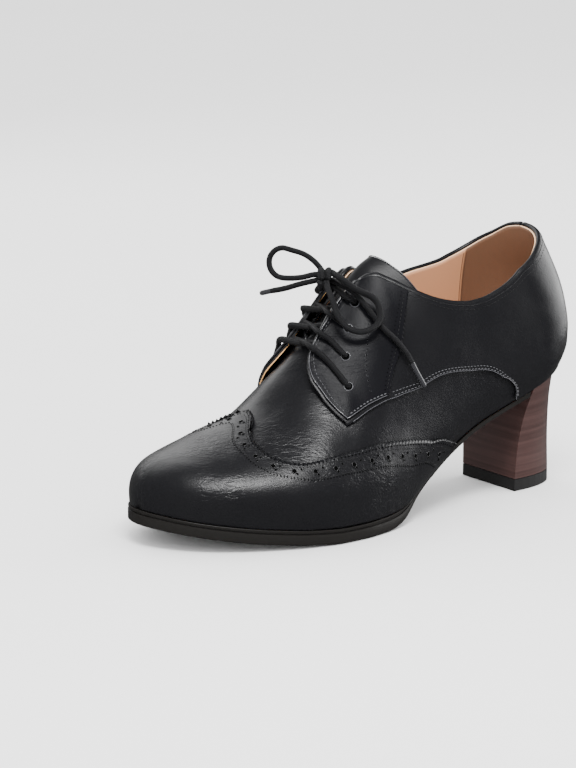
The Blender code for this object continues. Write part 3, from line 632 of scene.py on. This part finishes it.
def loft_faces(count, around):
    """Faces of closed rings, one after another, with a cap at each end."""
    faces = []
    for i in range(count - 1):
        for j in range(around):
            faces.append((i * around + j, i * around + (j + 1) % around,
                          (i + 1) * around + (j + 1) % around, (i + 1) * around + j))
    faces.append(tuple(range(around)))
    faces.append(tuple(range((count - 1) * around, count * around)))
    return faces


def loft(name, rings, look, slot, sharp):
    """Closed body from rings of points."""
    made = new_piece(name, rings.reshape(-1, 3), loft_faces(*rings.shape[:2]), look, slot)
    weld(made)
    made.data.set_sharp_from_angle(angle=math.radians(sharp))
    return made


def tube(name, route, wide, high, look, slot, sides=14, up=None, narrow_last=0.0):
    """Oval cord along a route of points, with its length and angle as UV."""
    route = np.asarray(route, float)
    run = run_along(route)
    along = unit(np.gradient(route, axis=0))
    across = unit(np.cross(along[0], [0.3, 0.5, 0.8] if up is None else up))
    angle = np.linspace(0, 2 * math.pi, sides + 1)
    slim = 1.0 - 0.28 * np.clip((run - run[-1] + narrow_last) / 1.5, 0, 1) * (narrow_last > 0)
    slim[[0, -1]] *= 0.62
    rings = []
    for point, forward, size in zip(route, along, slim):
        across = unit(across - forward * (across @ forward))
        other = np.cross(forward, across)
        ring = wide * np.cos(angle)[:, None] * across + high * np.sin(angle)[:, None] * other
        rings.append(point + ring * size)
    length, turn = np.meshgrid(run, angle / (2 * math.pi), indexing="ij")
    faces = grid_faces(len(route), sides + 1)
    faces.append(tuple(reversed(range(sides))))
    last = (len(route) - 1) * (sides + 1)
    faces.append(tuple(range(last, last + sides)))
    uv = np.stack([length, turn], -1).reshape(-1, 2)
    return new_piece(name, np.concatenate(rings), faces, look, slot, uv, sharp=60)


def evenly(route, step):
    """The same route with a point every step millimetres."""
    route = np.asarray(route, float)
    run = run_along(route)
    at = np.linspace(0, run[-1], max(int(round(run[-1] / step)), 2) + 1)
    return np.stack([np.interp(at, run, route[:, k]) for k in range(3)], 1)


class Marks:
    """Small shapes gathered into one mesh: stitches, punched holes and their lips."""

    # share of a thread's length, size of its ring there, how far it rises
    THREAD = ((0.0, 0.35, -0.5), (0.2, 0.9, 0.4), (0.5, 1.0, 0.75), (0.8, 0.9, 0.4), (1.0, 0.35, -0.5))

    def __init__(self):
        self.points = []
        self.faces = []

    def add(self, points, faces):
        start = len(self.points)
        self.points.extend(points.tolist())
        self.faces.extend([tuple(start + i for i in face) for face in faces])

    def stitch(self, a, b, normal, wide, high):
        """Thread that rises between its two ends."""
        run = b - a
        across = np.cross(normal, unit(run))
        rings = []
        for t, size, lift in self.THREAD:
            centre = a + run * t + normal * high * lift
            for k in range(6):
                angle = k * math.pi / 3
                side = across * math.cos(angle) * wide + normal * math.sin(angle) * high
                rings.append(centre + side * size)
        self.add(np.array(rings), loft_faces(5, 6))

    def hole(self, centre, normal, radius, deep=0.13):
        """Dark dished disc: painted shade in the depth of a hole."""
        across, other = plane_axes(normal)
        angle = np.arange(12)[:, None] * math.pi / 6
        rim = centre + normal * deep + radius * (np.cos(angle) * across + np.sin(angle) * other)
        points = np.concatenate([rim, [centre + normal * (deep - 0.02)]])
        self.add(points, [(k, (k + 1) % 12, 12) for k in range(12)])

    def lip(self, centre, normal, radius, thick):
        """Small raised ring round a hole."""
        across, other = plane_axes(normal)
        points, faces = [], []
        for k in range(12):
            angle = k * math.pi / 6
            out = across * math.cos(angle) + other * math.sin(angle)
            here, there = k * 5, (k + 1) % 12 * 5
            for m in range(5):
                turn = m * 2 * math.pi / 5
                rise = 0.06 + thick * math.sin(turn)
                points.append(centre + out * (radius + thick * math.cos(turn)) + normal * rise)
                faces.append((here + m, here + (m + 1) % 5, there + (m + 1) % 5, there + m))
        self.add(np.array(points), faces)

    def build(self, name, look, slot):
        return new_piece(name, self.points, self.faces, look, slot)


def plane_axes(normal):
    """Two directions across a normal."""
    across = unit(np.cross(normal, [0.31, 0.77, 0.55]))
    return across, np.cross(normal, across)


def line_on(grid, side, by, step):
    """Points and normals every step millimetres along a line of station and height fraction."""
    grid = np.asarray(grid, float)
    height = by(grid) if callable(by) else np.full(len(grid), by)
    run = run_along(laid(grid, side, height))
    at = np.arange(step / 2, run[-1], step)
    station, rise, level = [np.interp(at, run, values) for values in (grid[:, 0], grid[:, 1], height)]
    return raised(station, rise, side, level), outward(station, rise, side)


def stitch_row(marks, grid, side, by, pitch, wide, high, share=0.66):
    points, normals = line_on(grid, side, by, pitch)
    for start, end, normal in zip(points[:-1], points[1:], normals):
        run = end - start
        marks.stitch(start + run * (0.5 - share / 2), start + run * (0.5 + share / 2), normal, wide, high)


def hole_row(marks, grid, side, by, pitch, radius, lips=None):
    for point, normal in zip(*line_on(grid, side, by, pitch)):
        marks.hole(point, normal, radius)
        if lips is not None:
            lips.lip(point, normal, radius * 1.08, radius * 0.16)


def pinked(points, inside, deep):
    """Moves a border line in and out across its own run, in small teeth. inside is the row within it."""
    along = unit(np.gradient(points, axis=0))
    away = points - inside
    away = unit(away - along * (away * along).sum(1, keepdims=True))
    tooth = 2 * np.abs((run_along(points) / TOOTH_PITCH) % 1.0 - 0.5)
    return points + away * (deep * (tooth - 0.5))[:, None]


# ---------------------------------------------------------------- looks

BLACK_LEATHER = leather("upper_leather", coat=0.6)
WING_LEATHER = leather("wing_leather", crinkle=1.2, coat=0.7)
QUARTER_LEATHER = leather("quarter_leather", rough=0.34, crinkle=0.3, coat=0.28)
FACING_LEATHER = leather("facing_leather", rough=0.30, crinkle=0.5, coat=0.1)
TONGUE_LEATHER = leather("tongue_leather", rough=0.42, crinkle=0.5)
CUT_EDGE = plain("cut_edge", (0.012, 0.012, 0.013), 0.3, 700.0, 0.00002, coat=0.2)
# Lighter grey for thin edge beads and eyelet rims: the beads are real edges, and their light colour is a
# painted highlight along them.
EDGE_HIGHLIGHT = plain("painted_highlight_edge", (0.050, 0.050, 0.055), 0.24, 700.0, 0.00001, coat=0.3)
# The dark colour behind the side seam is partly the darker counter lining and partly painted shade inside the
# heel.
LINING = lining_leather("lining_leather", (0.57, 0.285, 0.150), (0.165, 0.084, 0.047))
LINING_EDGE = plain("lining_edge", (0.68, 0.43, 0.26), 0.5)
SEAM_THREAD = plain("lining_thread", (0.11, 0.055, 0.032), 0.6)
FLAP_LINING = plain("flap_lining", (0.72, 0.40, 0.16), 0.5)
SOLE_RUBBER = plain("sole_rubber", (0.0085, 0.0076, 0.0068), 0.46, 900.0, 0.00005)
TOP_RUBBER = plain("top_piece_rubber", (0.0110, 0.0105, 0.0105), 0.55, 900.0, 0.00005)
HEEL = heel_material()
LACE = lace_material()
THREAD = plain("thread", (0.055, 0.055, 0.060), 0.36, 2500.0, 0.00003)
DARK_THREAD = plain("dark_thread", (0.004, 0.004, 0.0045), 0.5, 2500.0, 0.00003)
# Near-black and matt, with almost no reflection (set below): painted shade in the depth of the punched holes
# and eyelets, drawn as discs on the surface.
HOLE_SHADE = plain("punched_hole", (0.0012, 0.0012, 0.0012), 0.9, vary=0.1)
for look, level in ((FACING_LEATHER, 0.05), (HOLE_SHADE, 0.02), (SOLE_RUBBER, 0.25), (TOP_RUBBER, 0.25)):
    put(look.node_tree.nodes["Principled BSDF"], Specular_IOR_Level=level)

FLAP_OUT = 2 * GAP + 0.3 + QUARTER_THICKNESS + STAY_THICKNESS
QUARTER_OUT = GAP + 0.1 + QUARTER_THICKNESS
WING_OUT = GAP + 0.15 + WING_THICKNESS


def lift_of(grid, side):
    """How far the flap stands off the vamp, with the swelling near its tip."""
    grid = np.asarray(grid)
    along, up = (grid[..., 0] - 85.5) / 4.2, (grid[..., 1] - 0.60) / 0.055
    swell = 0.85 * np.exp(-(along**2) - up**2)
    return flap_lift(grid) * (1.0 if side > 0 else INNER_LIFT) + swell


# ---------------------------------------------------------------- upper and its lining


def make_upper():
    front = stations(0.4, 70.0, 60)
    throat = np.concatenate([np.linspace(72.0, 80.0, 14), np.linspace(81.0, 118.0, 34)])
    rest = np.concatenate([np.linspace(119.5, 191.5, 46), np.linspace(REAR_STATION, BACK_STATION, 40)])
    columns = np.concatenate([[0.0], front, throat, rest])
    rise = np.linspace(0, 1, 40)
    halves = []
    for side in SIDES:
        top = upper_top(columns, side)
        closed = np.clip((columns - 87.0) / 7.0, 0, 1)
        top = 1.0 - (1.0 - top) * ease(closed)
        halves.append(shoe_surface(columns[:, None], top[:, None] * rise, side))
    made = new_piece("upper_vamp", *two_halves(halves), [BLACK_LEATHER, LINING, CUT_EDGE], "upper")
    shell(made, WALL, welded=True)
    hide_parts("upper")


def make_wing():
    ridge_count, edge_count, ridge_end = 30, 300, 56.0
    ridge = stations(0.6, ridge_end, ridge_count)
    edge = along_table(WING_EDGE, edge_count)
    top = np.concatenate([np.stack([ridge, np.ones(ridge_count)], 1), edge])
    share = np.concatenate([np.zeros(ridge_count), np.linspace(0, 1, edge_count)])
    below_edge = smooth(WING_FOOT, share[ridge_count:])
    foot_station = np.concatenate([8.0 * (ridge / ridge_end) ** 0.8, below_edge])
    foot = np.stack([foot_station, np.full(len(foot_station), 0.012)], 1)
    rise = np.linspace(0, 1, 34) ** 0.92
    halves = []
    for side in SIDES:
        bend = np.interp(share, [0.0, 0.14, 0.43, 1.0], [1.9, 1.9, 1.0, 1.0])[:, None]
        station = foot[:, :1] + (top - foot)[:, :1] * rise[None] ** bend
        height = foot[:, 1:] + (top - foot)[:, 1:] * rise[None]
        points = raised(station, height, side, WING_OUT)
        border = pinked(points[ridge_count:, -1], points[ridge_count:, -3], 0.75)
        border[0] = points[ridge_count, -1]
        points[ridge_count:, -1] = border
        halves.append(points)
    seam = (halves[0][: ridge_count + 1, -1] + halves[1][: ridge_count + 1, -1]) / 2
    halves[0][: ridge_count + 1, -1] = seam
    halves[1][: ridge_count + 1, -1] = seam
    nose = shoe_surface(0.0, 0.0, 1) + np.array([0.0, -(GAP + WING_THICKNESS + 0.05), -0.1])
    points, faces = two_halves(halves)
    last = len(points)
    for j in range(len(rise) - 1):
        faces.append((last, j, j + 1))
        faces.append((last, last // 2 + j + 1, last // 2 + j))
    looks = [WING_LEATHER, WING_LEATHER, CUT_EDGE]
    made = new_piece("wing", np.concatenate([points, [nose]]), faces, looks, "wing")
    shell(made, WING_THICKNESS, welded=True)
    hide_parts("wing_cap")


QUARTER_COLUMNS = 150
QUARTER_ROWS = 56
SEAM_POINTS = 95


def make_quarter(side):
    name = SIDES[side]
    grid = quarter_grid(side, QUARTER_COLUMNS, QUARTER_ROWS, SEAM_POINTS)
    points = laid(grid, side, QUARTER_OUT + lift_of(grid, side))
    looks = [QUARTER_LEATHER, TONGUE_LEATHER, CUT_EDGE]
    made = panel("quarter_" + name + "_leather", points, looks, "quarter", QUARTER_THICKNESS, 0.25)
    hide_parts("quarter_" + name)
    if side < 0:
        front = grid[0]
        below = QUARTER_OUT - QUARTER_THICKNESS + 0.1 + lift_of(front, side)
        edge = evenly(laid(front, side, below), 0.8)
        tube("flap_lining_edge", edge, 0.30, 0.36, FLAP_LINING, "quarter", 8, up=[0, 0, 1])
    return grid


def make_stay(side, grid):
    """The facing: inset from the flap's edges, its rear edge pinked."""
    name = SIDES[side]
    rear = np.array(STAY_REAR)
    rows = list(range(2, QUARTER_ROWS - 2))
    count, near, fine_rows = 64, 60, 190
    made_grid = np.zeros((count, len(rows), 2))
    for j, r in enumerate(rows):
        row = grid[:, r]
        spot = laid(row[:near], side, FLAP_OUT + lift_of(row[:near], side))
        run = run_along(spot)
        first = np.interp(1.5, run, np.arange(near))
        border = np.interp(row[:, 1], rear[:, 1], rear[:, 0])
        past = row[:, 0] - border
        k = int(np.argmax(past > 0))
        last = k - 1 + past[k - 1] / (past[k - 1] - past[k])
        at = np.linspace(first, last, count)
        for axis in (0, 1):
            made_grid[:, j, axis] = np.interp(at, np.arange(len(row)), row[:, axis])
    points = laid(made_grid, side, FLAP_OUT + lift_of(made_grid, side))
    dense = np.linspace(0, len(rows) - 1, fine_rows)
    fine = np.stack([
        np.stack([np.interp(dense, np.arange(len(rows)), points[i, :, k]) for k in range(3)], 1)
        for i in range(count)
    ])
    fine[-1] = pinked(fine[-1], fine[-3], 0.8)
    looks = [FACING_LEATHER, FACING_LEATHER, CUT_EDGE]
    made = panel("facing_" + name, fine, looks, "facing", STAY_THICKNESS)
    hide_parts("stay_" + name)
    return made_grid


def make_tongue():
    across = np.linspace(-1, 1, 61)
    along = np.linspace(0, 1, 70)[:, None]
    foot = 71.0
    grids = []
    for side in SIDES:
        q = np.abs(across[across >= 0] if side > 0 else across[across <= 0][::-1])
        last = 121.5 + 10.5 * q**1.6
        station = foot + along * (last - foot)
        half = np.interp(station, [foot, 84.0, 104.0, 131.0], [12.0, 14.5, 17.0, 21.5])
        edge = np.stack([
            height_where(station[:, k], side, "x", -half[:, k] * q[k]) for k in range(len(q))
        ], 1)
        edge[:, 0] = 1.0
        grids.append(raised(station, edge, side, -(WALL + GAP + 0.15)))
    points = np.concatenate([grids[1][:, :0:-1], grids[0]], 1)
    looks = [TONGUE_LEATHER, LINING_EDGE, CUT_EDGE]
    made = panel("tongue_leather", points, looks, "tongue", TONGUE_THICKNESS, 0.7)
    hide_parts("tongue")
    # Thin bead along the tongue's top edge in the lighter grey edge colour: a painted highlight line.
    edge = evenly(points[-1] + [0.0, 0.0, 0.1], 0.8)
    tube("tongue_edge", edge, 0.22, 0.22, EDGE_HIGHLIGHT, "tongue", 6, up=[0, 1, 0])


def top_roll(piece, side, first, count, drop, by, wide, high, look, slot, sides):
    """Tube that runs drop under the topline and stands by off the base surface."""
    at = np.linspace(first, COLLAR_END, count)
    line = raised(at, height_where(at, side, "z", top_height(at, side) - drop), side, by)
    tube(piece + SIDES[side], line, wide, high, look, slot, sides, up=[0, 0, 1])


def collar_rolls():
    """Rolled black edge of the collar, a thin line under it in the lighter cut-edge colour that paints the
    highlight below the binding, and the pale edge of the lining inside it.
    """
    front = FLAP_TOP_STATION + 1.0
    line_out = QUARTER_OUT + 0.02
    for side in SIDES:
        lining_front = 120.0 if side > 0 else 111.0
        top_roll("collar_roll_", side, front, 170, 0.0, 0.25, 1.25, 1.05, QUARTER_LEATHER, "quarter", 14)
        # Thin tube in the lighter cut-edge colour, a little under the top: a painted highlight line below the
        # binding.
        top_roll("collar_line_", side, front, 170, 1.2, line_out, 0.17, 0.17, CUT_EDGE, "quarter", 6)
        top_roll("lining_roll_", side, lining_front, 150, 0.1, -1.45, 0.36, 0.36, LINING_EDGE, "insole", 10)


make_upper()
make_wing()
GRID = {side: make_quarter(side) for side in SIDES}
STAY_GRID = {side: make_stay(side, GRID[side]) for side in SIDES}
make_tongue()
collar_rolls()

# ---------------------------------------------------------------- sole, insole and heel


def make_outsole():
    ball, arch = np.linspace(99.5, 124.0, 22), np.linspace(127.0, 191.0, 26)
    columns = np.concatenate([[0.0], stations(0.3, 98.0, 60), ball, arch])
    ledge = smooth(LEDGE, columns)
    top = smooth(FEATHER, columns) - GAP
    low = smooth(GROUND, columns)
    deep = top - low
    full = np.clip((deep - 2.2) / 4.0, 0, 1)
    # share of the sole's depth, how far its side stands out past the ledge
    levels = (
        (0.00, -0.50), (0.00, -0.12), (0.02, 0.00), (0.15, 0.00), (0.17, -0.05), (0.20, -0.55), (0.26, -0.55),
        (0.29, 0.08), (0.32, 0.15), (0.86, 0.15), (0.92, 0.05), (0.97, -0.35), (1.00, -0.90), (1.00, -12.0),
    )
    sections = []
    for side in SIDES:
        chain = []
        for share, out in levels:
            plan = side_point(columns, side, ledge + out * full)
            if out < -5:
                toe = np.clip(columns / 12.0, 0, 1)
                plan = side_point(columns, side, ledge - 1.0 + (out + 1.0) * toe)
            chain.append(np.concatenate([plan, (top - share * deep)[:, None]], 1))
        sections.append(np.stack(chain, 1))
    middle_top = (sections[0][:, 0] + sections[1][:, 0]) / 2
    ring = np.concatenate([middle_top[:, None], sections[0], sections[1][:, ::-1]], 1)
    made = loft("outsole_rubber", ring, SOLE_RUBBER, "sole", 38)
    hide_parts("outsole")


def make_heel():
    rings = [heel_ring(share, LIFT_HEIGHT + GAP) for share in np.linspace(0, 1, 40)]
    outer = np.stack([ring[0] for ring in rings], 1)
    inner = np.stack([ring[1] for ring in rings], 1)
    ring = np.concatenate([outer, inner[:, ::-1]], 1)
    made = loft("heel_stacked", ring, HEEL, "heel", 35)
    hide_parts("heel_block")


def dress(node, look):
    """Better material and shading for a node whose shape is right."""
    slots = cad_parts[node].data.materials
    slots.clear()
    slots.append(look)


make_outsole()
make_heel()
dress("top_piece", TOP_RUBBER)
dress("insole", plain("insole_leather", (0.50, 0.265, 0.145), 0.5, 900.0, 0.00006, 0.12))

# ---------------------------------------------------------------- seams and perforations

WING_INNER = (
    (48.5, 1.0), (46.5, 0.955), (42.6, 0.900), (39.6, 0.840), (38.1, 0.750), (38.3, 0.650),
    (42.9, 0.513), (51.2, 0.438), (62.6, 0.380), (76.0, 0.355), (93.1, 0.319), (111.4, 0.255),
    (124.0, 0.165), (132.0, 0.050),
)
STITCHES = Marks()
DARK_STITCHES = Marks()
HOLES = Marks()
LIPS = Marks()
RIMS = Marks()
BIG_HOLE_PITCH = 9.4


def between(share):
    """Line between the wing's edge, at 0, and the line along the inside of its border, at 1."""
    return along_table(WING_EDGE, 160) * (1 - share) + along_table(WING_INNER, 160) * share


for side in SIDES:
    out = WING_OUT + 0.02
    hole_row(HOLES, between(0.15), side, out, 1.8, 0.33)
    stitch_row(DARK_STITCHES, between(0.29), side, out, 1.5, 0.16, 0.12)
    stitch_row(DARK_STITCHES, between(0.96), side, out, 1.5, 0.18, 0.13)
    hole_row(HOLES, between(1.04), side, out, 1.5, 0.28)
    hole_row(HOLES, between(0.58), side, out, BIG_HOLE_PITCH, 1.02, lips=LIPS)
    for share in (0.43, 0.75):
        points, normals = line_on(between(share), side, out, BIG_HOLE_PITCH / 2)
        for point, normal in zip(points[1::2], normals[1::2]):
            HOLES.hole(point, normal, 0.52)
            LIPS.lip(point, normal, 0.56, 0.09)


def above_flap(side, by):
    """Height over the base surface, at each place of a grid, of what lies by over the flap's own lift."""
    return lambda grid: by + lift_of(grid, side)


for side in SIDES:
    grid = GRID[side]
    quarter_at = above_flap(side, QUARTER_OUT + 0.03)
    facing_at = above_flap(side, FLAP_OUT + 0.03)
    front_cut = int(np.argmax(grid[:, 3, 0] > 105.0))
    for row, wide in ((1, 0.22), (3, 0.20)):
        stitch_row(STITCHES, grid[front_cut:SEAM_POINTS, row], side, quarter_at, 1.9, wide, 0.18)
    stay = STAY_GRID[side]
    stitch_row(STITCHES, stay[3:-3, 1], side, facing_at, 1.9, 0.30, 0.20)
    stitch_row(STITCHES, stay[3, 2:], side, facing_at, 1.9, 0.16, 0.14)
    stitch_row(DARK_STITCHES, stay[-5, 2:-2], side, facing_at, 1.8, 0.15, 0.12)
    hole_row(HOLES, stay[-8, 2:-2], side, facing_at, 2.0, 0.25)
    dots = ((96.5, 0.560), (97.5, 0.600), (99.0, 0.638), (100.5, 0.656), (103.5, 0.688), (107.0, 0.735),
            (111.0, 0.785))
    hole_row(HOLES, along_table(dots, 160), side, facing_at, 2.4, 0.34, lips=RIMS)
    at = np.linspace(122.0, 230.5, 160)
    high = height_where(at, side, "z", top_height(at, side) - 3.0)
    stitch_row(DARK_STITCHES, np.stack([at, high], 1), side, quarter_at, 2.0, 0.14, 0.08)
    back = np.stack([np.full(60, 228.9), np.linspace(0.06, 0.54, 60)], 1)
    stitch_row(STITCHES, back, side, quarter_at, 2.0, 0.15, 0.12)
    for station, height in EYELETS:
        at = np.array([[station + 0.4, height - 0.015]])
        place = laid(at, side, facing_at(at))[0]
        normal = outward(at[:, 0], at[:, 1], side)[0]
        HOLES.hole(place, normal, 1.95)
        RIMS.lip(place, normal, 2.0, 0.24)
    # Thin beads along the facing's and the seam's edges in the lighter grey edge colour: painted highlight
    # lines.
    front_edge = laid(stay[0], side, facing_at(stay[0]) - 0.12)
    low_edge = laid(stay[:, 0], side, facing_at(stay[:, 0]) - 0.12)
    border = np.concatenate([front_edge[::-1], low_edge[1:-3]])
    tube("facing_border_" + SIDES[side], evenly(border, 0.7), 0.2, 0.2, EDGE_HIGHLIGHT, "facing", 6)
    seam_edge = grid[2:SEAM_POINTS, 0]
    border = laid(seam_edge, side, quarter_at(seam_edge) - 0.15)
    tube("seam_border_" + SIDES[side], evenly(border, 0.8), 0.2, 0.2, EDGE_HIGHLIGHT, "quarter", 6)

STITCHES.build("seam_stitches", THREAD, "upper")
DARK_STITCHES.build("wing_stitches", DARK_THREAD, "wing")
# Punched holes and eyelet holes as near-black discs: painted shade inside the holes.
HOLES.build("punched_holes", HOLE_SHADE, "wing")
LIPS.build("hole_lips", CUT_EDGE, "wing")
# Eyelet rims and the rims of the facing's dots in the lighter grey edge colour: a painted highlight on the
# rims.
RIMS.build("eyelet_rims", EDGE_HIGHLIGHT, "facing")

for side, name in SIDES.items():
    for letter, offset in (("a", -0.8), ("b", 0.8)):
        rise = np.linspace(0.10, 0.60, 60)
        around = np.linspace(184.0, 216.0, 80)
        within = -(WALL + 0.02)
        spots = raised(around, rise[:, None], side, within)
        at = np.array([np.interp(LINING_SEAM_Y + offset, row[:, 1], around) for row in spots])
        line = raised(at, rise, side, within)
        line = line[line[:, 2] < top_height(at, side) - 1.6]
        tube(f"lining_seam_{name}_{letter}", line, 0.20, 0.16, SEAM_THREAD, "insole", 6)

# ---------------------------------------------------------------- laces


def flap_point(station, height, side, above):
    at = np.array([[station, height]])
    return laid(at, side, FLAP_OUT + lift_of(at, side) + above)[0]


LACE_WIDE, LACE_HIGH = 1.50, 1.26


def lace(name, route, narrow_last=0.0):
    return tube(name, route, LACE_WIDE, LACE_HIGH, LACE, "lace", narrow_last=narrow_last)


EDGE = np.array(FLAP_FRONT[4:])
for i in range(len(EYELETS) - 1):
    for side in SIDES:
        start, finish = EYELETS[i], EYELETS[i + 1]
        first = start[0] * 0.60 + finish[0] * 0.40 - 4.5
        second = start[0] * 0.25 + finish[0] * 0.75 - 4.0
        near = np.interp(first, EDGE[:, 0], EDGE[:, 1]) - 0.012
        far = np.interp(second, EDGE[:, 0], EDGE[:, 1])
        over = flap_point(first, near, side, 1.9)
        under = flap_point(second, far, -side, -3.3)
        points = [
            flap_point(start[0] + 0.6, start[1] - 0.010, side, -1.2),
            flap_point(start[0], start[1], side, 0.8),
            flap_point((start[0] + first) / 2, start[1] * 0.45 + near * 0.55, side, 1.5),
            over,
            over * 0.5 + under * 0.5 + np.array([0.0, 0.0, 0.5 if side > 0 else -0.6]),
            under,
            flap_point(second + 2.0, far - 0.05, -side, -3.5),
        ]
        lace(f"lace_crossing_{i + 1}_{SIDES[side]}", smooth_route(points, 0.7))
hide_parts("lacing")

KNOT = np.array((-6.2, -12.7, 106.2))
LOOP_OUTER = (
    (-4.6, -13.6, 106.6), (-2.0, -15.2, 105.6), (1.9, -17.4, 103.2), (8.3, -19.3, 99.0),
    (13.4, -20.0, 92.8), (17.4, -17.9, 88.2), (20.6, -13.8, 86.3), (22.6, -9.0, 87.2), (22.6, -4.1, 90.6),
    (20.1, -2.8, 96.2), (17.3, -4.0, 100.0), (12.2, -9.5, 103.4), (4.5, -13.4, 108.3),
    (-2.3, -12.8, 109.2), (-5.0, -12.2, 108.0),
)
LOOP_INNER = (
    (-6.6, -13.2, 108.0), (-7.8, -14.2, 110.4), (-10.6, -15.8, 113.4), (-14.4, -18.6, 116.2),
    (-19.0, -22.2, 117.6), (-22.5, -24.3, 118.4), (-25.6, -26.5, 116.7), (-27.2, -28.0, 113.1),
    (-26.6, -28.1, 109.0), (-24.0, -26.9, 105.9), (-20.5, -24.8, 105.0), (-14.5, -19.8, 105.6),
    (-9.8, -15.6, 107.4), (-7.2, -13.6, 107.0),
)
END_OUTER = (
    (-4.6, -12.0, 105.6), (-1.7, -11.0, 105.0), (3.7, -11.0, 103.9), (8.4, -8.4, 101.9), (16.7, -4.6, 93.2),
    (20.6, -2.6, 88.1), (25.9, 2.2, 81.7), (29.5, 6.1, 75.1), (32.3, 8.5, 68.2), (34.0, 12.2, 60.8),
)
END_INNER = ((-6.4, -13.2, 105.6), (-8.6, -15.0, 104.9), (-15.0, -20.5, 102.6), (-20.0, -24.5, 100.4),
             (-26.0, -29.8, 98.6), (-28.6, -32.0, 97.6))


def lace_route(table):
    """Route through the table's points, eased by six rounds of averaging with its neighbours."""
    route = smooth_route(table, 0.8)
    for _ in range(6):
        route[1:-1] = (route[:-2] + 2 * route[1:-1] + route[2:]) / 4
    return route


def free_cord(name, node, table, narrow_last=0.0):
    route = lace_route(table)
    made = lace(name, route, narrow_last)
    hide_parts(node)


AGLET = plain("aglet", (0.016, 0.016, 0.018), 0.22, 800.0, 0.00001, coat=0.5)
tips = [tube(name, lace_route(table)[-count:], 1.26, 1.16, AGLET, "lace")
        for name, table, count in (("lace_tip_outer", END_OUTER, 18), ("lace_tip_inner", END_INNER, 9))]
free_cord("bow_loop_outer", "lace_loop_outer", LOOP_OUTER)
free_cord("bow_loop_inner", "lace_loop_inner", LOOP_INNER)
free_cord("bow_end_outer", "lace_end_outer", END_OUTER, 13.0)
free_cord("bow_end_inner", "lace_end_inner", END_INNER, 6.0)

KNOT_RADIUS = 3.2
wraps = []
for facing, shift in (((0.60, 0.78, 0.10), -1.4), ((0.62, 0.76, -0.04), 1.3)):
    facing = unit(np.array(facing))
    middle = KNOT + facing * shift + [2.9, -2.7, 0.2]
    one = unit(np.cross(facing, [0.0, 0.0, 1.0]))
    two = np.cross(facing, one)
    turn = np.linspace(0.0, 2 * math.pi, 30)[:, None]
    ring = KNOT_RADIUS * (np.cos(turn) * one * 0.9 + np.sin(turn) * two * 1.1)
    slant = facing * (turn / math.pi - 1.0) * 0.5
    wraps.append(tube(f"bow_knot_{len(wraps) + 1}", middle + ring + slant, 1.9, 1.4, LACE, "lace"))
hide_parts("lace_knot")
for side, name in SIDES.items():
    station, height = EYELETS[-1]
    points = [
        flap_point(station + 0.6, height - 0.01, side, -1.2),
        flap_point(station, height, side, 0.8),
        flap_point(station - 1.0, height * 0.6 + 0.36, side, 2.0),
        KNOT + np.array([1.6 * side, 1.2, -2.2]),
        KNOT,
    ]
    lace("lace_to_knot_" + name, smooth_route(points, 0.7))

# ---------------------------------------------------------------- riding, light and camera

for piece in PIECES:
    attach(piece, "root")

plane = bpy.data.meshes.new("floor")
plane.from_pydata([(-6, -6, 0), (6, -6, 0), (6, 6, 0), (-6, 6, 0)], [], [(0, 1, 2, 3)])
plane.materials.append(plain("floor_paper", (0.86, 0.86, 0.86), 0.9, 4.0, 0.0, 0.01))
floor = bpy.data.objects.new("floor", plane)
floor.location.z = -0.0002
floor.visible_glossy = False
bpy.context.scene.collection.objects.link(floor)

world = bpy.data.worlds.new("studio")
bpy.context.scene.world = world
world.use_nodes = True
sky = world.node_tree.nodes["Background"]
put(sky, Color=(1, 1, 1, 1))
rays = add_node(world.node_tree, "LightPath")
level = ramp(world.node_tree, rays.outputs["Is Glossy Ray"], 2.4, 0.17, 0.0, 1.0)
world.node_tree.links.new(level, sky.inputs["Strength"])


def aimed(name, data, place, target):
    """Light or camera at a place, turned to a target."""
    made = bpy.data.objects.new(name, data)
    made.location = place
    made.rotation_mode = "QUATERNION"
    made.rotation_quaternion = (Vector(target) - Vector(place)).to_track_quat("-Z", "Y")
    bpy.context.scene.collection.objects.link(made)
    return made


# name, place, target, width, height and power of each soft light
SOFTBOXES = (
    ("overhead", (0.46, -0.27, 0.96), (0, -0.05, 0.04), 0.44, 0.24, 13.0),
    ("left", (-0.9, 0.1, 0.6), (0, 0, 0.05), 0.7, 0.7, 3.4),
    ("back", (0.08, 1.25, 0.30), (0.03, 0.09, 0.06), 1.3, 0.8, 15.0),
)
for name, place, target, wide, high, power in SOFTBOXES:
    light = bpy.data.lights.new(name, "AREA")
    light.shape = "RECTANGLE"
    light.size = wide
    light.size_y = high
    light.energy = power
    aimed(name, light, place, target)

FOCAL_PIXELS, PHOTO_WIDTH = 3228.97, 576.0
camera = bpy.data.cameras.new("camera")
camera.sensor_fit = "HORIZONTAL"
camera.sensor_width = 36.0
camera.lens = FOCAL_PIXELS * camera.sensor_width / PHOTO_WIDTH
camera.clip_start = 0.05
camera.clip_end = 20.0
eye = Vector((1119.8, -841.0, 375.1)) * MM
bpy.context.scene.camera = aimed("camera", camera, eye, Vector((-22.95, -20.8, 56.0)) * MM)
